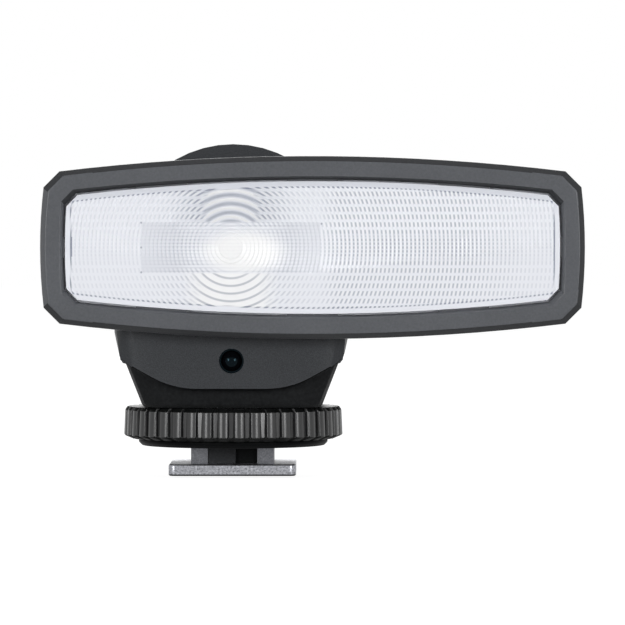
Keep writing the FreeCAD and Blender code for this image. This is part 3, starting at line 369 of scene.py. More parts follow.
def post(name, radius, start, end, sides=32):
    """Round post between two points, turned to run along them."""
    along = end - start
    bpy.ops.object.select_all(action="DESELECT")
    bpy.ops.mesh.primitive_cylinder_add(
        vertices=sides, radius=radius, depth=along.length, location=(start + end) / 2,
        rotation=along.to_track_quat("Z", "Y").to_euler(),
    )
    piece = bpy.context.object
    piece.name = name
    settle(piece)
    return piece


def join(name, pieces):
    """Joins pieces into one, which keeps each of them a closed shape."""
    pick(*pieces)
    bpy.ops.object.join()
    pieces[0].name = name
    return pieces[0]


def ride_along(piece, material, body):
    """Gives a piece its material and body."""
    piece.data.materials.clear()
    piece.data.materials.append(material)
    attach(piece, body)


def stand_for(piece, material, node):
    """Gives a piece its material and body, and lets it stand for its CAD node."""
    ride_along(piece, material, BODY_OF[node])
    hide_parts(node)


def second_finish(piece, material, where):
    """Gives a second material to the faces of a piece that where picks."""
    piece.data.materials.append(material)
    pick(piece)
    bpy.ops.object.mode_set(mode="EDIT")
    choose(piece, "FACE", where)
    piece.active_material_index = len(piece.data.materials) - 1
    bpy.ops.object.material_slot_assign()
    bpy.ops.object.mode_set(mode="OBJECT")


def grained_plastic(name, colour, roughness, grain, depth, specular=0.5, contrast=0.22):
    """Moulded ABS. Spark erosion of the mould leaves a fine grain that breaks the shine up,
    and handling leaves it slightly uneven in tone. The grain is drawn coarser than the real
    0.05 mm so that it shows."""
    material, tree = new_material(name)
    place = add(tree, "ShaderNodeTexCoord").outputs["Object"]
    fine = add(tree, "ShaderNodeTexNoise", {
        "Vector": place, "Scale": 1 / (grain * MM), "Detail": 3.0, "Roughness": 0.6,
    })
    # Clouds of tone are 9 mm wide
    broad = add(tree, "ShaderNodeTexNoise", {"Vector": place, "Scale": 1 / (9 * MM), "Detail": 2.0})
    tones = []
    for noise, swing in ((fine, contrast), (broad, 0.04)):
        tones.append(add(tree, "ShaderNodeMapRange", {
            "Value": noise.outputs["Fac"], "From Min": 0.3, "From Max": 0.7,
            "To Min": 1 - swing, "To Max": 1 + swing,
        }))
    tone = add(tree, "ShaderNodeMath", {0: tones[0], 1: tones[1]}, operation="MULTIPLY")
    shade = add(tree, "ShaderNodeVectorMath", {0: (*colour,), "Scale": tone}, operation="SCALE")
    gloss = add(tree, "ShaderNodeMapRange", {
        "Value": broad.outputs["Fac"], "To Min": roughness - 0.05, "To Max": roughness + 0.05,
    })
    bump = add(tree, "ShaderNodeBump", {
        "Height": fine.outputs["Fac"], "Strength": depth, "Distance": 0.03 * MM,
    })
    finish_material(tree, {
        "Base Color": shade, "Roughness": gloss, "Normal": bump, "Specular IOR Level": specular, "IOR": 1.53,
    })
    return material


def blasted_metal(name, colour, roughness, grit, depth, contrast=0.2):
    """Bead blasted metal. The beads leave small round dents that sparkle under a soft light.
    The dents are drawn coarser than the real 0.1 mm so that they show."""
    material, tree = new_material(name)
    place = add(tree, "ShaderNodeTexCoord").outputs["Object"]
    dents = add(tree, "ShaderNodeTexVoronoi", {"Vector": place, "Scale": 1 / (grit * MM)}, feature="F1")
    specks = add(tree, "ShaderNodeTexNoise", {
        "Vector": place, "Scale": 1 / (grit * MM), "Detail": 4.0, "Roughness": 0.7,
    })
    tone = add(tree, "ShaderNodeMapRange", {
        "Value": specks.outputs["Fac"], "From Min": 0.3, "From Max": 0.7,
        "To Min": 1 - contrast, "To Max": 1 + contrast,
    })
    shade = add(tree, "ShaderNodeVectorMath", {0: (*colour,), "Scale": tone}, operation="SCALE")
    gloss = add(tree, "ShaderNodeMapRange", {
        "Value": specks.outputs["Fac"], "To Min": roughness - 0.1, "To Max": roughness + 0.1,
    })
    bump = add(tree, "ShaderNodeBump", {
        "Height": dents.outputs["Distance"], "Strength": depth, "Distance": 0.05 * MM,
    })
    finish_material(tree, {"Base Color": shade, "Metallic": 1.0, "Roughness": gloss, "Normal": bump})
    return material


def coated_acrylic(name):
    """Dark filter of moulded acrylic with a thin coating, so its few reflections look cyan, and a
    faint haze 0.8 mm wide that makes them uneven."""
    material, tree = new_material(name)
    place = add(tree, "ShaderNodeTexCoord").outputs["Object"]
    haze = add(tree, "ShaderNodeTexNoise", {"Vector": place, "Scale": 1 / (0.8 * MM), "Detail": 2.0})
    gloss = add(tree, "ShaderNodeMapRange", {"Value": haze.outputs["Fac"], "To Min": 0.05, "To Max": 0.09})
    finish_material(tree, {
        "Base Color": (*linear("07080B"), 1.0), "Roughness": gloss, "IOR": 1.49,
        "Specular IOR Level": 0.14, "Specular Tint": (*linear("94C6DA"), 1.0),
    })
    return material


def lens_acrylic(name, colours, sizes):
    """Moulded clear acrylic with ring grooves in front and rows of prisms behind, drawn opaque with
    the view through it painted into its colour: the white tray broken into rows of short strokes
    whose dark and white sides are painted shade and painted highlight, bright arcs of painted light
    over and under the tube, a pale block where the reflector stands as a painted reflection, and a
    white patch before the tube as a painted highlight."""
    material, tree = new_material(name)
    middle = (TUBE_MIDDLE.x, 0.0, TUBE_MIDDLE.z)
    place = add(tree, "ShaderNodeTexCoord").outputs["Object"]
    local = add(tree, "ShaderNodeVectorMath", {0: place, 1: middle}, operation="SUBTRACT")
    in_mm = add(tree, "ShaderNodeVectorMath", {0: local, "Scale": 1 / MM}, operation="SCALE")
    axes = add(tree, "ShaderNodeSeparateXYZ", {"Vector": in_mm})
    x, z = axes.outputs["X"], axes.outputs["Z"]
    flat = add(tree, "ShaderNodeCombineXYZ", {"X": x, "Y": 0.0, "Z": z})
    radius = add(tree, "ShaderNodeVectorMath", {0: flat}, operation="LENGTH").outputs["Value"]
    wide = add(tree, "ShaderNodeMath", {0: x}, operation="ABSOLUTE")
    high = add(tree, "ShaderNodeMath", {0: z}, operation="ABSOLUTE")

    # Waves: the rings of the front, the rows of the back, and the arcs of painted light that the tube
    # throws, each with what it runs along, its pitch and its start in millimetres
    waves = {}
    for key, along, pitch, start in (
        ("ring", radius, sizes.groove_pitch, 0.0),
        ("row", z, sizes.row_pitch, 0.0),
        ("arc", radius, 1.25, 5.65),
        ("dot", z, sizes.row_pitch / 2, 0.0),
        ("thread", radius, 1.1, 4.4),
        ("bar", z, 0.5, 0.1),
    ):
        turn = add(tree, "ShaderNodeMath", {0: along, 1: start}, operation="SUBTRACT")
        turn = add(tree, "ShaderNodeMath", {0: turn, 1: 2 * math.pi / pitch}, operation="MULTIPLY")
        waves[key] = add(tree, "ShaderNodeMath", {0: turn}, operation="COSINE")

    # Masks: each is a ramp of one value between two limits, from a first result to a last one
    masks = {}
    for key, value, begin, end, first, last in (
        ("painted shade side", waves["ring"], -0.15, 0.75, 0.0, 1.0),
        ("painted highlight side", waves["ring"], -0.35, -0.95, 0.0, 1.0),
        ("dash", waves["row"], -0.75, 0.1, 0.0, 0.85),
        ("dot", waves["dot"], -0.8, 0.2, 0.45, 1.0),
        ("off the middle", high, 1.2, 2.6, 0.0, 1.0),
        ("block height", high, 3.5, 3.65, 1.0, 0.0),
        ("block width", wide, 12.7, 12.9, 1.0, 0.0),
        ("right start", x, 12.4, 15.5, 0.0, 1.0),
        ("right end", x, 33.0, 43.0, 1.0, 0.1),
        ("near", wide, 13.0, 5.0, 0.0, 1.0),
        ("close", wide, 9.0, 4.6, 0.0, 1.0),
        ("arc width", wide, 3.1, 4.5, 1.0, 0.0),
        ("thread width", wide, 3.8, 7.0, 1.0, 0.0),
        ("above", z, 3.5, 3.8, 0.0, 1.0),
        ("below", z, -3.5, -3.8, 0.0, 1.0),
        ("painted arc shade", waves["arc"], 0.1, -0.9, 0.0, 0.5),
        ("painted arc light", waves["arc"], 0.3, 0.8, 0.0, 1.0),
        ("thread line", waves["thread"], 0.35, 0.98, 0.0, 0.6),
        ("bar line", waves["bar"], 0.1, 0.95, 0.0, 0.24),
        ("bar reach", wide, 6.0, 12.0, 1.0, 0.2),
        ("edge shade", wide, 5.5, 8.0, 0.0, 1.0),
        ("ringed", radius, 2.4, 5.5, 0.3, 1.0),
        ("rim top", z, 4.5, 6.5, 0.0, 0.24),
    ):
        masks[key] = add(tree, "ShaderNodeMapRange", {
            "Value": value, "From Min": begin, "From Max": end, "To Min": first, "To Max": last,
        })

    # Products of two masks or earlier products
    for key, one, two in (
        ("block", "block height", "block width"),
        ("right", "right start", "right end"),
        ("top arcs", "above", "arc width"),
        ("low arcs", "below", "thread width"),
        ("grey corner", "above", "close"),
        ("bars", "bar line", "bar reach"),
        ("bars", "bars", "block"),
        ("block shade", "block", "edge shade"),
        ("painted arc shade", "painted arc shade", "top arcs"),
        ("painted arc light", "painted arc light", "top arcs"),
        ("thread line", "thread line", "low arcs"),
    ):
        masks[key] = add(tree, "ShaderNodeMath", {0: masks[one], 1: masks[two]}, operation="MULTIPLY")

    # Strength of the strokes: a weighted sum, less the block and the arcs
    strength = add(tree, "ShaderNodeMath", {0: masks["right"], 1: 0.52, 2: 0.17}, operation="MULTIPLY_ADD")
    for key, weight in (
        ("near", 0.3), ("grey corner", 0.3), ("block", -0.14), ("top arcs", -0.75), ("low arcs", -0.5),
    ):
        sockets = {0: masks[key], 1: weight, 2: strength}
        strength = add(tree, "ShaderNodeMath", sockets, operation="MULTIPLY_ADD")
    strength = add(tree, "ShaderNodeMath", {0: strength, 1: 0.0}, operation="MAXIMUM")
    strength = add(tree, "ShaderNodeMath", {0: strength, 1: masks["ringed"]}, operation="MULTIPLY")
    # The rows cut the strokes into dashes away from the middle
    cut = {0: masks["off the middle"], 2: masks["dot"], 3: masks["dash"]}
    cut = add(tree, "ShaderNodeMix", cut, data_type="FLOAT")
    strength = add(tree, "ShaderNodeMath", {0: strength, 1: cut}, operation="MULTIPLY")

    # Edge of the grooved field: bowed above and below, straight at the ends
    centre_x = (HEAD_MIDDLE.x - TUBE_MIDDLE.x) / MM
    away = add(tree, "ShaderNodeMath", {0: x, 1: centre_x}, operation="SUBTRACT")
    away = add(tree, "ShaderNodeMath", {0: away}, operation="ABSOLUTE")
    bowed = add(tree, "ShaderNodeMath", {0: away, 1: away}, operation="MULTIPLY")
    limit = add(tree, "ShaderNodeMath", {0: bowed, 1: -FIELD_BOW, 2: FIELD_HALF_H}, operation="MULTIPLY_ADD")
    room_z = add(tree, "ShaderNodeMath", {0: limit, 1: high}, operation="SUBTRACT")
    room_x = add(tree, "ShaderNodeMath", {0: FIELD_HALF_W, 1: away}, operation="SUBTRACT")
    field = add(tree, "ShaderNodeMath", {0: room_z, 1: room_x, 2: 0.9}, operation="SMOOTH_MIN")
    inside = add(tree, "ShaderNodeMapRange", {"Value": field, "From Min": -0.05, "From Max": 0.05})
    line = add(tree, "ShaderNodeMath", {0: field}, operation="ABSOLUTE")
    line = add(tree, "ShaderNodeMapRange", {
        "Value": line, "From Min": 0.05, "From Max": 0.16, "To Min": 1.0, "To Max": 0.0,
    })
    dashes = add(tree, "ShaderNodeMapRange", {
        "Value": waves["ring"], "From Min": -0.3, "From Max": 0.4, "To Min": 0.12, "To Max": 0.85,
    })
    border = add(tree, "ShaderNodeMath", {0: line, 1: dashes}, operation="MULTIPLY")

    # Painted highlight: a white patch before the tube
    patch = {"Vector": flat, "Location": (-0.34, 0.0, 0.24), "Scale": (0.19, 1.0, 0.36)}
    patch = add(tree, "ShaderNodeMapping", patch, vector_type="POINT")
    patch = add(tree, "ShaderNodeVectorMath", {0: patch}, operation="LENGTH").outputs["Value"]
    patch = {"Value": patch, "From Min": 0.6, "From Max": 1.5, "To Min": 1.0, "To Max": 0.0}
    patch = add(tree, "ShaderNodeMapRange", patch, interpolation_type="SMOOTHSTEP")
    around = add(tree, "ShaderNodeMath", {0: patch, 1: -0.8, 2: 1.0}, operation="MULTIPLY_ADD")

    # Painted shade: the dark sides of the strokes, the dark arcs, lines and bars, and the greyer block edges
    # and upper corners
    dark = add(tree, "ShaderNodeMath", {0: masks["painted shade side"], 1: strength}, operation="MULTIPLY")
    for key, weight in (
        ("painted arc shade", 1.0), ("thread line", 1.0), ("bars", 1.0), ("block shade", 0.15), ("grey corner", 0.18),
    ):
        dark = add(tree, "ShaderNodeMath", {0: masks[key], 1: weight, 2: dark}, operation="MULTIPLY_ADD")
    dark = add(tree, "ShaderNodeMath", {0: dark, 1: around}, operation="MULTIPLY")
    # Dark dots at the corners of the block, where its moulded pins stand
    for spot_x, spot_z in ((-12.8, 3.55), (-12.8, -3.55), (-12.8, 0.0), (13.0, 3.4)):
        spot = add(tree, "ShaderNodeVectorMath", {0: flat, 1: (spot_x, 0.0, spot_z)}, operation="DISTANCE")
        spot = add(tree, "ShaderNodeMapRange", {
            "Value": spot.outputs["Value"], "From Min": 0.1, "From Max": 0.2, "To Min": 0.7, "To Max": 0.0,
        })
        dark = add(tree, "ShaderNodeMath", {0: dark, 1: spot}, operation="MAXIMUM")
    # Thin dark line of the notch at each end of the field
    for line_x, line_z, half in ((-22.75, 0.1, 1.4), (46.25, 0.3, 2.2)):
        off_x = add(tree, "ShaderNodeMath", {0: x, 1: line_x}, operation="SUBTRACT")
        off_z = add(tree, "ShaderNodeMath", {0: z, 1: line_z}, operation="SUBTRACT")
        near_x = add(tree, "ShaderNodeMath", {0: off_x, 1: 0.0, 2: 0.07}, operation="COMPARE")
        near_z = add(tree, "ShaderNodeMath", {0: off_z, 1: 0.0, 2: half}, operation="COMPARE")
        notch = add(tree, "ShaderNodeMath", {0: near_x, 1: near_z}, operation="MULTIPLY")
        dark = add(tree, "ShaderNodeMath", {0: notch, 1: 0.8, 2: dark}, operation="MULTIPLY_ADD")
    dark = {0: dark, 1: inside, 2: border}
    dark = add(tree, "ShaderNodeMath", dark, operation="MULTIPLY_ADD", use_clamp=True)
    # Painted shade: the upper rim outside the field is greyer than the lower one
    rim = add(tree, "ShaderNodeMath", {0: 1.0, 1: inside}, operation="SUBTRACT")
    rim = add(tree, "ShaderNodeMath", {0: rim, 1: masks["rim top"]}, operation="MULTIPLY")
    dark = add(tree, "ShaderNodeMath", {0: dark, 1: rim}, operation="MAXIMUM")

    # Painted highlight: the white sides of the strokes, the bright arcs over and under the tube, and the
    # white patch
    white = add(tree, "ShaderNodeMath", {0: masks["painted highlight side"], 1: strength}, operation="MULTIPLY")
    for key, weight in (("painted arc light", 1.0), ("low arcs", 0.85)):
        white = add(tree, "ShaderNodeMath", {0: masks[key], 1: weight, 2: white}, operation="MULTIPLY_ADD")
    white = add(tree, "ShaderNodeMath", {0: white, 1: patch}, operation="MAXIMUM")
    white = add(tree, "ShaderNodeMath", {0: white, 1: inside}, operation="MULTIPLY", use_clamp=True)

    body = {0: white, 6: (*colours.lens, 1.0), 7: (1.0, 1.0, 1.0, 1.0)}
    body = add(tree, "ShaderNodeMix", body, data_type="RGBA")
    shade = {0: dark, 6: body.outputs[2], 7: (*colours.strokes, 1.0)}
    shade = add(tree, "ShaderNodeMix", shade, data_type="RGBA")
    finish_material(tree, {
        "Base Color": shade.outputs[2], "Roughness": 0.25, "IOR": 1.49, "Specular IOR Level": 0.35,
    })
    return material


def seen_directly(tree):
    """1 for rays from the camera, in a reflection or through glass, and 0 for the light that falls
    on the object, so that the white surroundings add none to it."""
    path = add(tree, "ShaderNodeLightPath")
    seen = path.outputs["Is Camera Ray"]
    for ray in ("Is Glossy Ray", "Is Transmission Ray"):
        seen = add(tree, "ShaderNodeMath", {0: seen, 1: path.outputs[ray]}, operation="MAXIMUM")
    return seen


class FlashStage(bpy.types.Operator):
    """Adds the pale floor, the soft lights, the white surroundings and the camera"""

    bl_idname = "flash.stage"
    bl_label = "Stage"

    def execute(self, context):
        scene = context.scene
        scene.view_settings.view_transform = "Standard"
        low = CAD_BOX[0][2]

        bpy.ops.object.select_all(action="DESELECT")
        bpy.ops.mesh.primitive_plane_add(size=12.0, location=(0.0, 0.0, low - TOUCH))
        floor = context.object
        floor.name = "floor"
        material, tree = new_material("painted studio floor")
        # Seen directly or in a reflection the floor is white, and it keeps the shadow of the object
        matt = add(tree, "ShaderNodeBsdfDiffuse", {"Color": (0.6, 0.6, 0.6, 1.0)})
        soft = add(tree, "ShaderNodeBsdfDiffuse", {"Color": (0.34, 0.34, 0.34, 1.0)})
        glow = add(tree, "ShaderNodeEmission", {"Color": (1.0, 1.0, 1.0, 1.0), "Strength": 0.93})
        white = add(tree, "ShaderNodeAddShader", {0: soft, 1: glow})
        both = add(tree, "ShaderNodeMixShader", {0: seen_directly(tree), 1: matt, 2: white})
        add(tree, "ShaderNodeOutputMaterial", {"Surface": both})
        floor.data.materials.append(material)

        world = bpy.data.worlds.new("studio")
        scene.world = world
        world.use_nodes = True
        tree = world.node_tree
        tree.nodes.clear()
        fill = add(tree, "ShaderNodeBackground", {"Color": (0.97, 0.98, 1.0, 1.0), "Strength": 0.22})
        white = add(tree, "ShaderNodeBackground", {"Color": (1.0, 1.0, 1.0, 1.0), "Strength": 1.0})
        both = add(tree, "ShaderNodeMixShader", {0: seen_directly(tree), 1: fill, 2: white})
        add(tree, "ShaderNodeOutputWorld", {"Surface": both})

        # Lamps stand 0.8 m from the head: turn in degrees from the front, then height over the
        # head, width and length in metres, and watts
        target = Vector((HEAD_MIDDLE.x, 0.0, 30 * MM))
        for name, turn, height, wide, tall, power in (
            ("left softbox", -32.0, 0.12, 0.2, 0.28, 2.4),
            ("right softbox", 32.0, 0.12, 0.2, 0.28, 2.4),
            ("left strip", -74.0, 0.2, 0.06, 0.36, 0.1),
            ("right strip", 74.0, 0.2, 0.06, 0.36, 0.1),
            ("top strip", 0.0, 0.9, 0.5, 0.1, 0.5),
            ("rear softbox", 180.0, 0.45, 0.5, 0.5, 1.8),
        ):
            angle = math.radians(turn)
            spot = target + Vector((0.8 * math.sin(angle), -0.8 * math.cos(angle), height))
            bpy.ops.object.light_add(type="AREA", location=spot)
            lamp = context.object
            lamp.name = name
            lamp.data.shape = "RECTANGLE"
            lamp.data.size = wide
            lamp.data.size_y = tall
            lamp.data.energy = power
            lamp.rotation_euler = (target - spot).to_track_quat("-Z", "Y").to_euler()

        # The photograph's view: level with the head, tilted down a little
        bpy.ops.object.camera_add(
            location=(CAMERA_X * MM, CAMERA_Y * MM, CAMERA_Z * MM),
            rotation=(math.pi / 2 - math.atan(CAMERA_DROP / -CAMERA_Y), 0.0, 0.0),
        )
        camera = context.object
        camera.name = "camera"
        camera.data.sensor_width = FILM_W
        camera.data.lens = FILM_W * FOCAL_PX / PHOTO_PX
        camera.data.clip_start = 0.01
        camera.data.clip_end = 50.0
        scene.camera = camera
        return {"FINISHED"}


class FlashHead(bpy.types.Operator):
    """Dresses the bezel and the head case"""

    bl_idname = "flash.head"
    bl_label = "Head"

    def execute(self, context):
        sizes, colours = context.scene.flash_sizes, context.scene.flash_colours
        satin = grained_plastic("satin moulded ABS", colours.bezel, 0.3, 0.3, 0.1, 0.28, 0.1)
        front = BEZEL_LOW.y

        def front_edges(middle, edge):
            """Edges of the front flat, and those of the outer bevel."""
            if middle.y < front + TOUCH:
                return True
            away, up = off_head(middle)
            outside = abs(up) > OUTER_EDGE_Z or abs(away) > OUTER_EDGE_X
            return outside and middle.y < front + OUTER_BEVEL_H * MM + TOUCH

        def opening(vertex, low, high):
            """Inner outline of the bezel, whose long sides are bowed, between two depths. The room
            beside the window takes in the inner bevel alone."""
            away, up = off_head(vertex.co)
            near = abs(away) < WINDOW_HALF_W + 0.75 and abs(up) < WINDOW_HALF_H + 0.5 - FIELD_BOW * away**2
            return near and low * MM < vertex.co.y - front < high * MM

        def shade_painted_bevel(face):
            """Bevels that face away from the lamps: the outer ones but the left one, and the inner
            top one. They get painted shade, a darker copy of the satin."""
            away, up = off_head(face.calc_center_median())
            outside = abs(up) > OUTER_BEVEL_Z - FIELD_BOW * away**2 or abs(away) > OUTER_BEVEL_X
            slanted = -0.8 < face.normal.y < -0.2
            turned = max(abs(face.normal.z), face.normal.x) > 0.2 if outside else face.normal.z < -0.2
            return slanted and turned

        bezel = copy_node("front_bezel", "bezel")
        bpy.ops.object.mode_set(mode="EDIT")
        # How far behind the front the corners of the opening lie, from and to, in millimetres, and
        # the share of the widening that they get: half within the inner bevel, and all behind it
        for low, high, share in ((0.3, 0.7, 0.5), (0.9, 4.0, 1.0)):
            choose(bezel, "VERT", lambda v, low=low, high=high: opening(v, low, high))
            wide, tall = 1 + share * WIDER / WINDOW_HALF_W, 1 + share * WIDER / WINDOW_HALF_H
            bpy.ops.transform.resize(value=(wide, 1.0, tall), center_override=HEAD_MIDDLE)
        bpy.ops.object.mode_set(mode="OBJECT")
        round_edges(bezel, sizes.bezel_edge, 2, 18.0, front_edges)
        smooth(bezel, 30.0)
        stand_for(bezel, satin, "front_bezel")
        # Painted shade: the bevels that face away from the lamps get a darker, less shiny copy of the satin
        painted_shade_finish = grained_plastic("satin ABS with painted shade on the bevels", linear("3B3C3E"), 0.4, 0.3, 0.1, 0.08, 0.1)
        second_finish(bezel, painted_shade_finish, shade_painted_bevel)

        def rear_edges(middle, edge):
            """Edges of the chamfer round the back, clear of the screw holes."""
            if middle.y < CASE_HIGH.y - REAR_CHAMFER * MM:
                return False
            away, up = off_head(middle)
            for side in (-HEAD_SCREW_X, HEAD_SCREW_X):
                if math.hypot(away - side, up + HEAD_SCREW_DROP) < SCREW_CLEAR_R:
                    return False
            return abs(away) > REAR_HALF_W or abs(up) > REAR_HALF_H - REAR_BOW * away**2

        case_plastic = grained_plastic("moulded ABS of the head", colours.head, 0.42, sizes.grain, 0.3, 0.25)
        case = copy_node("head_case", "head_shell")
        round_edges(case, sizes.case_edge, 2, 25.0, rear_edges)
        smooth(case, 30.0)
        stand_for(case, case_plastic, "head_case")
        return {"FINISHED"}


def field_trims():
    """Points round the grooved field, each with the direction out of the field there: its straight
    ends, its cut corners, and nine straight stretches for each bowed edge."""
    trims = []
    for side in (-1, 1):
        trims.append((side * FIELD_HALF_W, 0.0, side, 0.0))
        for step in range(-4, 5):
            x = step * FIELD_HALF_W / 4.5
            trims.append((x, side * (FIELD_HALF_H - FIELD_BOW * x * x), side * 2 * FIELD_BOW * x, side))
        for up in (-1, 1):
            corner_z = up * (FIELD_HALF_H - FIELD_BOW * FIELD_HALF_W**2 - FIELD_CORNER)
            trims.append((side * (FIELD_HALF_W - FIELD_CORNER), corner_z, side, up))
    return trims


class FlashLens(bpy.types.Operator):
    """Dresses the lens and models its ring grooves"""

    bl_idname = "flash.lens"
    bl_label = "Lens"

    def execute(self, context):
        sizes, colours = context.scene.flash_sizes, context.scene.flash_colours
        acrylic = lens_acrylic("moulded acrylic", colours, sizes)
        front = LENS_LOW.y

        def in_window(vertex):
            """Front part of the lens, with room that ends before the outline of its flange."""
            away, up = off_head(vertex.co)
            return abs(away) < LENS_HALF_W + 1.3 and abs(up) < LENS_HALF_H + 1.2 - FIELD_BOW * away**2

        def widened(vertex):
            """Front face of the lens, and what stands in the window behind it."""
            return vertex.co.y < front + TOUCH or (vertex.co.y < front + LENS_STEP * MM and in_window(vertex))

        lens = copy_node("front_lens", "lens")
        bpy.ops.object.mode_set(mode="EDIT")
        choose(lens, "VERT", widened)
        wide, tall = 1 + WIDER / LENS_HALF_W, 1 + WIDER / LENS_HALF_H
        bpy.ops.transform.resize(value=(wide, 1.0, tall), center_override=HEAD_MIDDLE)
        bpy.ops.object.mode_set(mode="OBJECT")
        round_edges(lens, 0.08, 2, 40.0, lambda m, e: m.y < front + TOUCH)
        smooth(lens, 34.0)
        stand_for(lens, acrylic, "front_lens")

        # One circle is drawn in ring by ring, with a shallow side and a steep side to each groove.
        # It starts 0.03 mm before the lens, so that none of its faces lies on the lens itself
        pitch = sizes.groove_pitch
        far_end = FIELD_HALF_W + (HEAD_MIDDLE.x - TUBE_MIDDLE.x) / MM
        rings = int(math.hypot(far_end, FIELD_HALF_H) / pitch) + 1
        centre = Vector((TUBE_MIDDLE.x, front - 0.03 * MM, TUBE_MIDDLE.z))
        bpy.ops.object.select_all(action="DESELECT")
        bpy.ops.mesh.primitive_circle_add(
            vertices=120, radius=rings * pitch * MM, fill_type="NOTHING", location=centre,
            rotation=(math.pi / 2, 0.0, 0.0),
        )
        grooves = context.object
        grooves.name = "lens_grooves"
        settle(grooves)
        bpy.ops.object.mode_set(mode="EDIT")
        bpy.ops.mesh.select_all(action="SELECT")
        last = rings
        for ring in range(rings, 0, -1):
            for reach, lift in ((ring - STEEP_SHARE, -sizes.groove_depth), (ring - 1.0, sizes.groove_depth)):
                if reach < GROOVE_START / pitch:
                    break
                bpy.ops.mesh.extrude_edges_move(TRANSFORM_OT_translate={"value": (0.0, lift * MM, 0.0)})
                shrink = reach / last
                bpy.ops.transform.resize(value=(shrink, 1.0, shrink), center_override=centre)
                last = reach
        bpy.ops.mesh.edge_face_add()

        # The field's outline trims the rings, which then get walls and a flat back
        for x, z, across, up in field_trims():
            bpy.ops.mesh.select_all(action="SELECT")
            spot = Vector((HEAD_MIDDLE.x + x * MM, 0.0, HEAD_MIDDLE.z + z * MM))
            outwards = Vector((across, 0.0, up)).normalized()
            bpy.ops.mesh.bisect(plane_co=spot, plane_no=outwards, clear_outer=True)
        bpy.ops.mesh.select_mode(type="EDGE")
        bpy.ops.mesh.select_all(action="SELECT")
        bpy.ops.mesh.region_to_loop()
        # The walls go back by half a millimetre at first, and their far edges are then laid flat
        bpy.ops.mesh.extrude_edges_move(TRANSFORM_OT_translate={"value": (0.0, 0.5 * MM, 0.0)})
        back = centre + Vector((0.0, GROOVE_BACK * MM, 0.0))
        bpy.ops.transform.resize(value=(1.0, 0.0, 1.0), center_override=back)
        bpy.ops.mesh.edge_face_add()
        bpy.ops.mesh.select_all(action="SELECT")
        bpy.ops.mesh.remove_doubles(threshold=0.001 * MM)
        bpy.ops.mesh.normals_make_consistent(inside=False)
        bpy.ops.object.mode_set(mode="OBJECT")
        smooth(grooves, 12.0, False)
        ride_along(grooves, acrylic, "housing")
        return {"FINISHED"}


class FlashNeck(bpy.types.Operator):
    """Dresses the neck covers, the pod and the lower neck"""

    bl_idname = "flash.neck"
    bl_label = "Neck"

    def execute(self, context):
        sizes, colours = context.scene.flash_sizes, context.scene.flash_colours
        grained = grained_plastic("spark eroded ABS", colours.cover, 0.42, sizes.grain, 0.9, 0.2, 0.3)
        polished = grained_plastic("polished ABS", colours.base, 0.5, 0.5, 0.04, 0.02)
        # Painted shade: the faces of the front cover over the seam get a near black finish that stands in for
        # the shadow there
        seam = grained_plastic("matt ABS with painted shade in the seam", linear("0B0C0D"), 0.6, 0.3, 0.1, 0.03)

        def under_cover(middle, edge):
            """Outer line of the curved lower edge: one face looks down and the other one outwards."""
            down = min(face.normal.z for face in edge.link_faces)
            other = max(edge.link_faces, key=lambda face: face.normal.z)
            outwards = other.normal.x * middle.x + other.normal.y * middle.y
            along = abs(middle.x) < EDGE_REACH * MM and middle.z < EDGE_TOP * MM
            return along and down < -0.4 and outwards > 0 and other.normal.z > -0.35

        def under_base(middle, edge):
            """Outer edge of the lower neck, where the collar begins."""
            return abs(middle.z - BASE_LOW.z) < TOUCH and middle.xy.length > BASE_BORE_R * MM

        def underside(face):
            """Flat end of the lower neck."""
            return face.normal.z < -0.9 and face.calc_center_median().z < BASE_LOW.z + TOUCH

        def in_seam(face):
            """Faces of the front cover that look down into the seam under it, which get painted shade."""
            return face.normal.z < -0.3 and face.calc_center_median().z < SEAM_TOP * MM

        def collar_rim(vertex):
            """Lower outer edge of the collar."""
            return vertex.co.z < BASE_LOW.z - 0.3 * MM and vertex.co.xy.length > COLLAR_BORE_R * MM

        for node, name, finish, where in (
            ("neck_front_cover", "front_cover", grained, under_cover),
            ("rear_cover", "pod_cover", grained, None),
            ("neck_base", "lower_neck", polished, under_base),
        ):
            piece = copy_node(node, name)
            bpy.ops.object.mode_set(mode="EDIT")
            if node == "neck_base":
                # A low collar closes the gap over the ring, as on the real neck
                choose(piece, "FACE", underside)
                bpy.ops.mesh.extrude_region_move(TRANSFORM_OT_translate={"value": (0.0, 0.0, -COLLAR_H * MM)})
                choose(piece, "VERT", collar_rim)
                draft = (COLLAR_DRAFT, COLLAR_DRAFT, 1.0)
                bpy.ops.transform.resize(value=draft, center_override=(0.0, 0.0, BASE_LOW.z))
            else:
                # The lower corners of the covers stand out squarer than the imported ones
                for side, (low, high, shift) in itertools.product((-1, 1), CORNER_SHIFTS):
                    choose(piece, "VERT", lambda v, side=side, low=low, high=high:
                           side * v.co.x > CORNER_X * MM and low * MM < v.co.z < high * MM)
                    bpy.ops.transform.translate(value=(side * shift * MM, 0.0, 0.0))
            bpy.ops.object.mode_set(mode="OBJECT")
            if where:
                round_edges(piece, sizes.case_edge, 2, 20.0, where)
            smooth(piece, 34.0)
            stand_for(piece, finish, node)
            if node == "neck_front_cover":
                second_finish(piece, seam, in_seam)
        return {"FINISHED"}


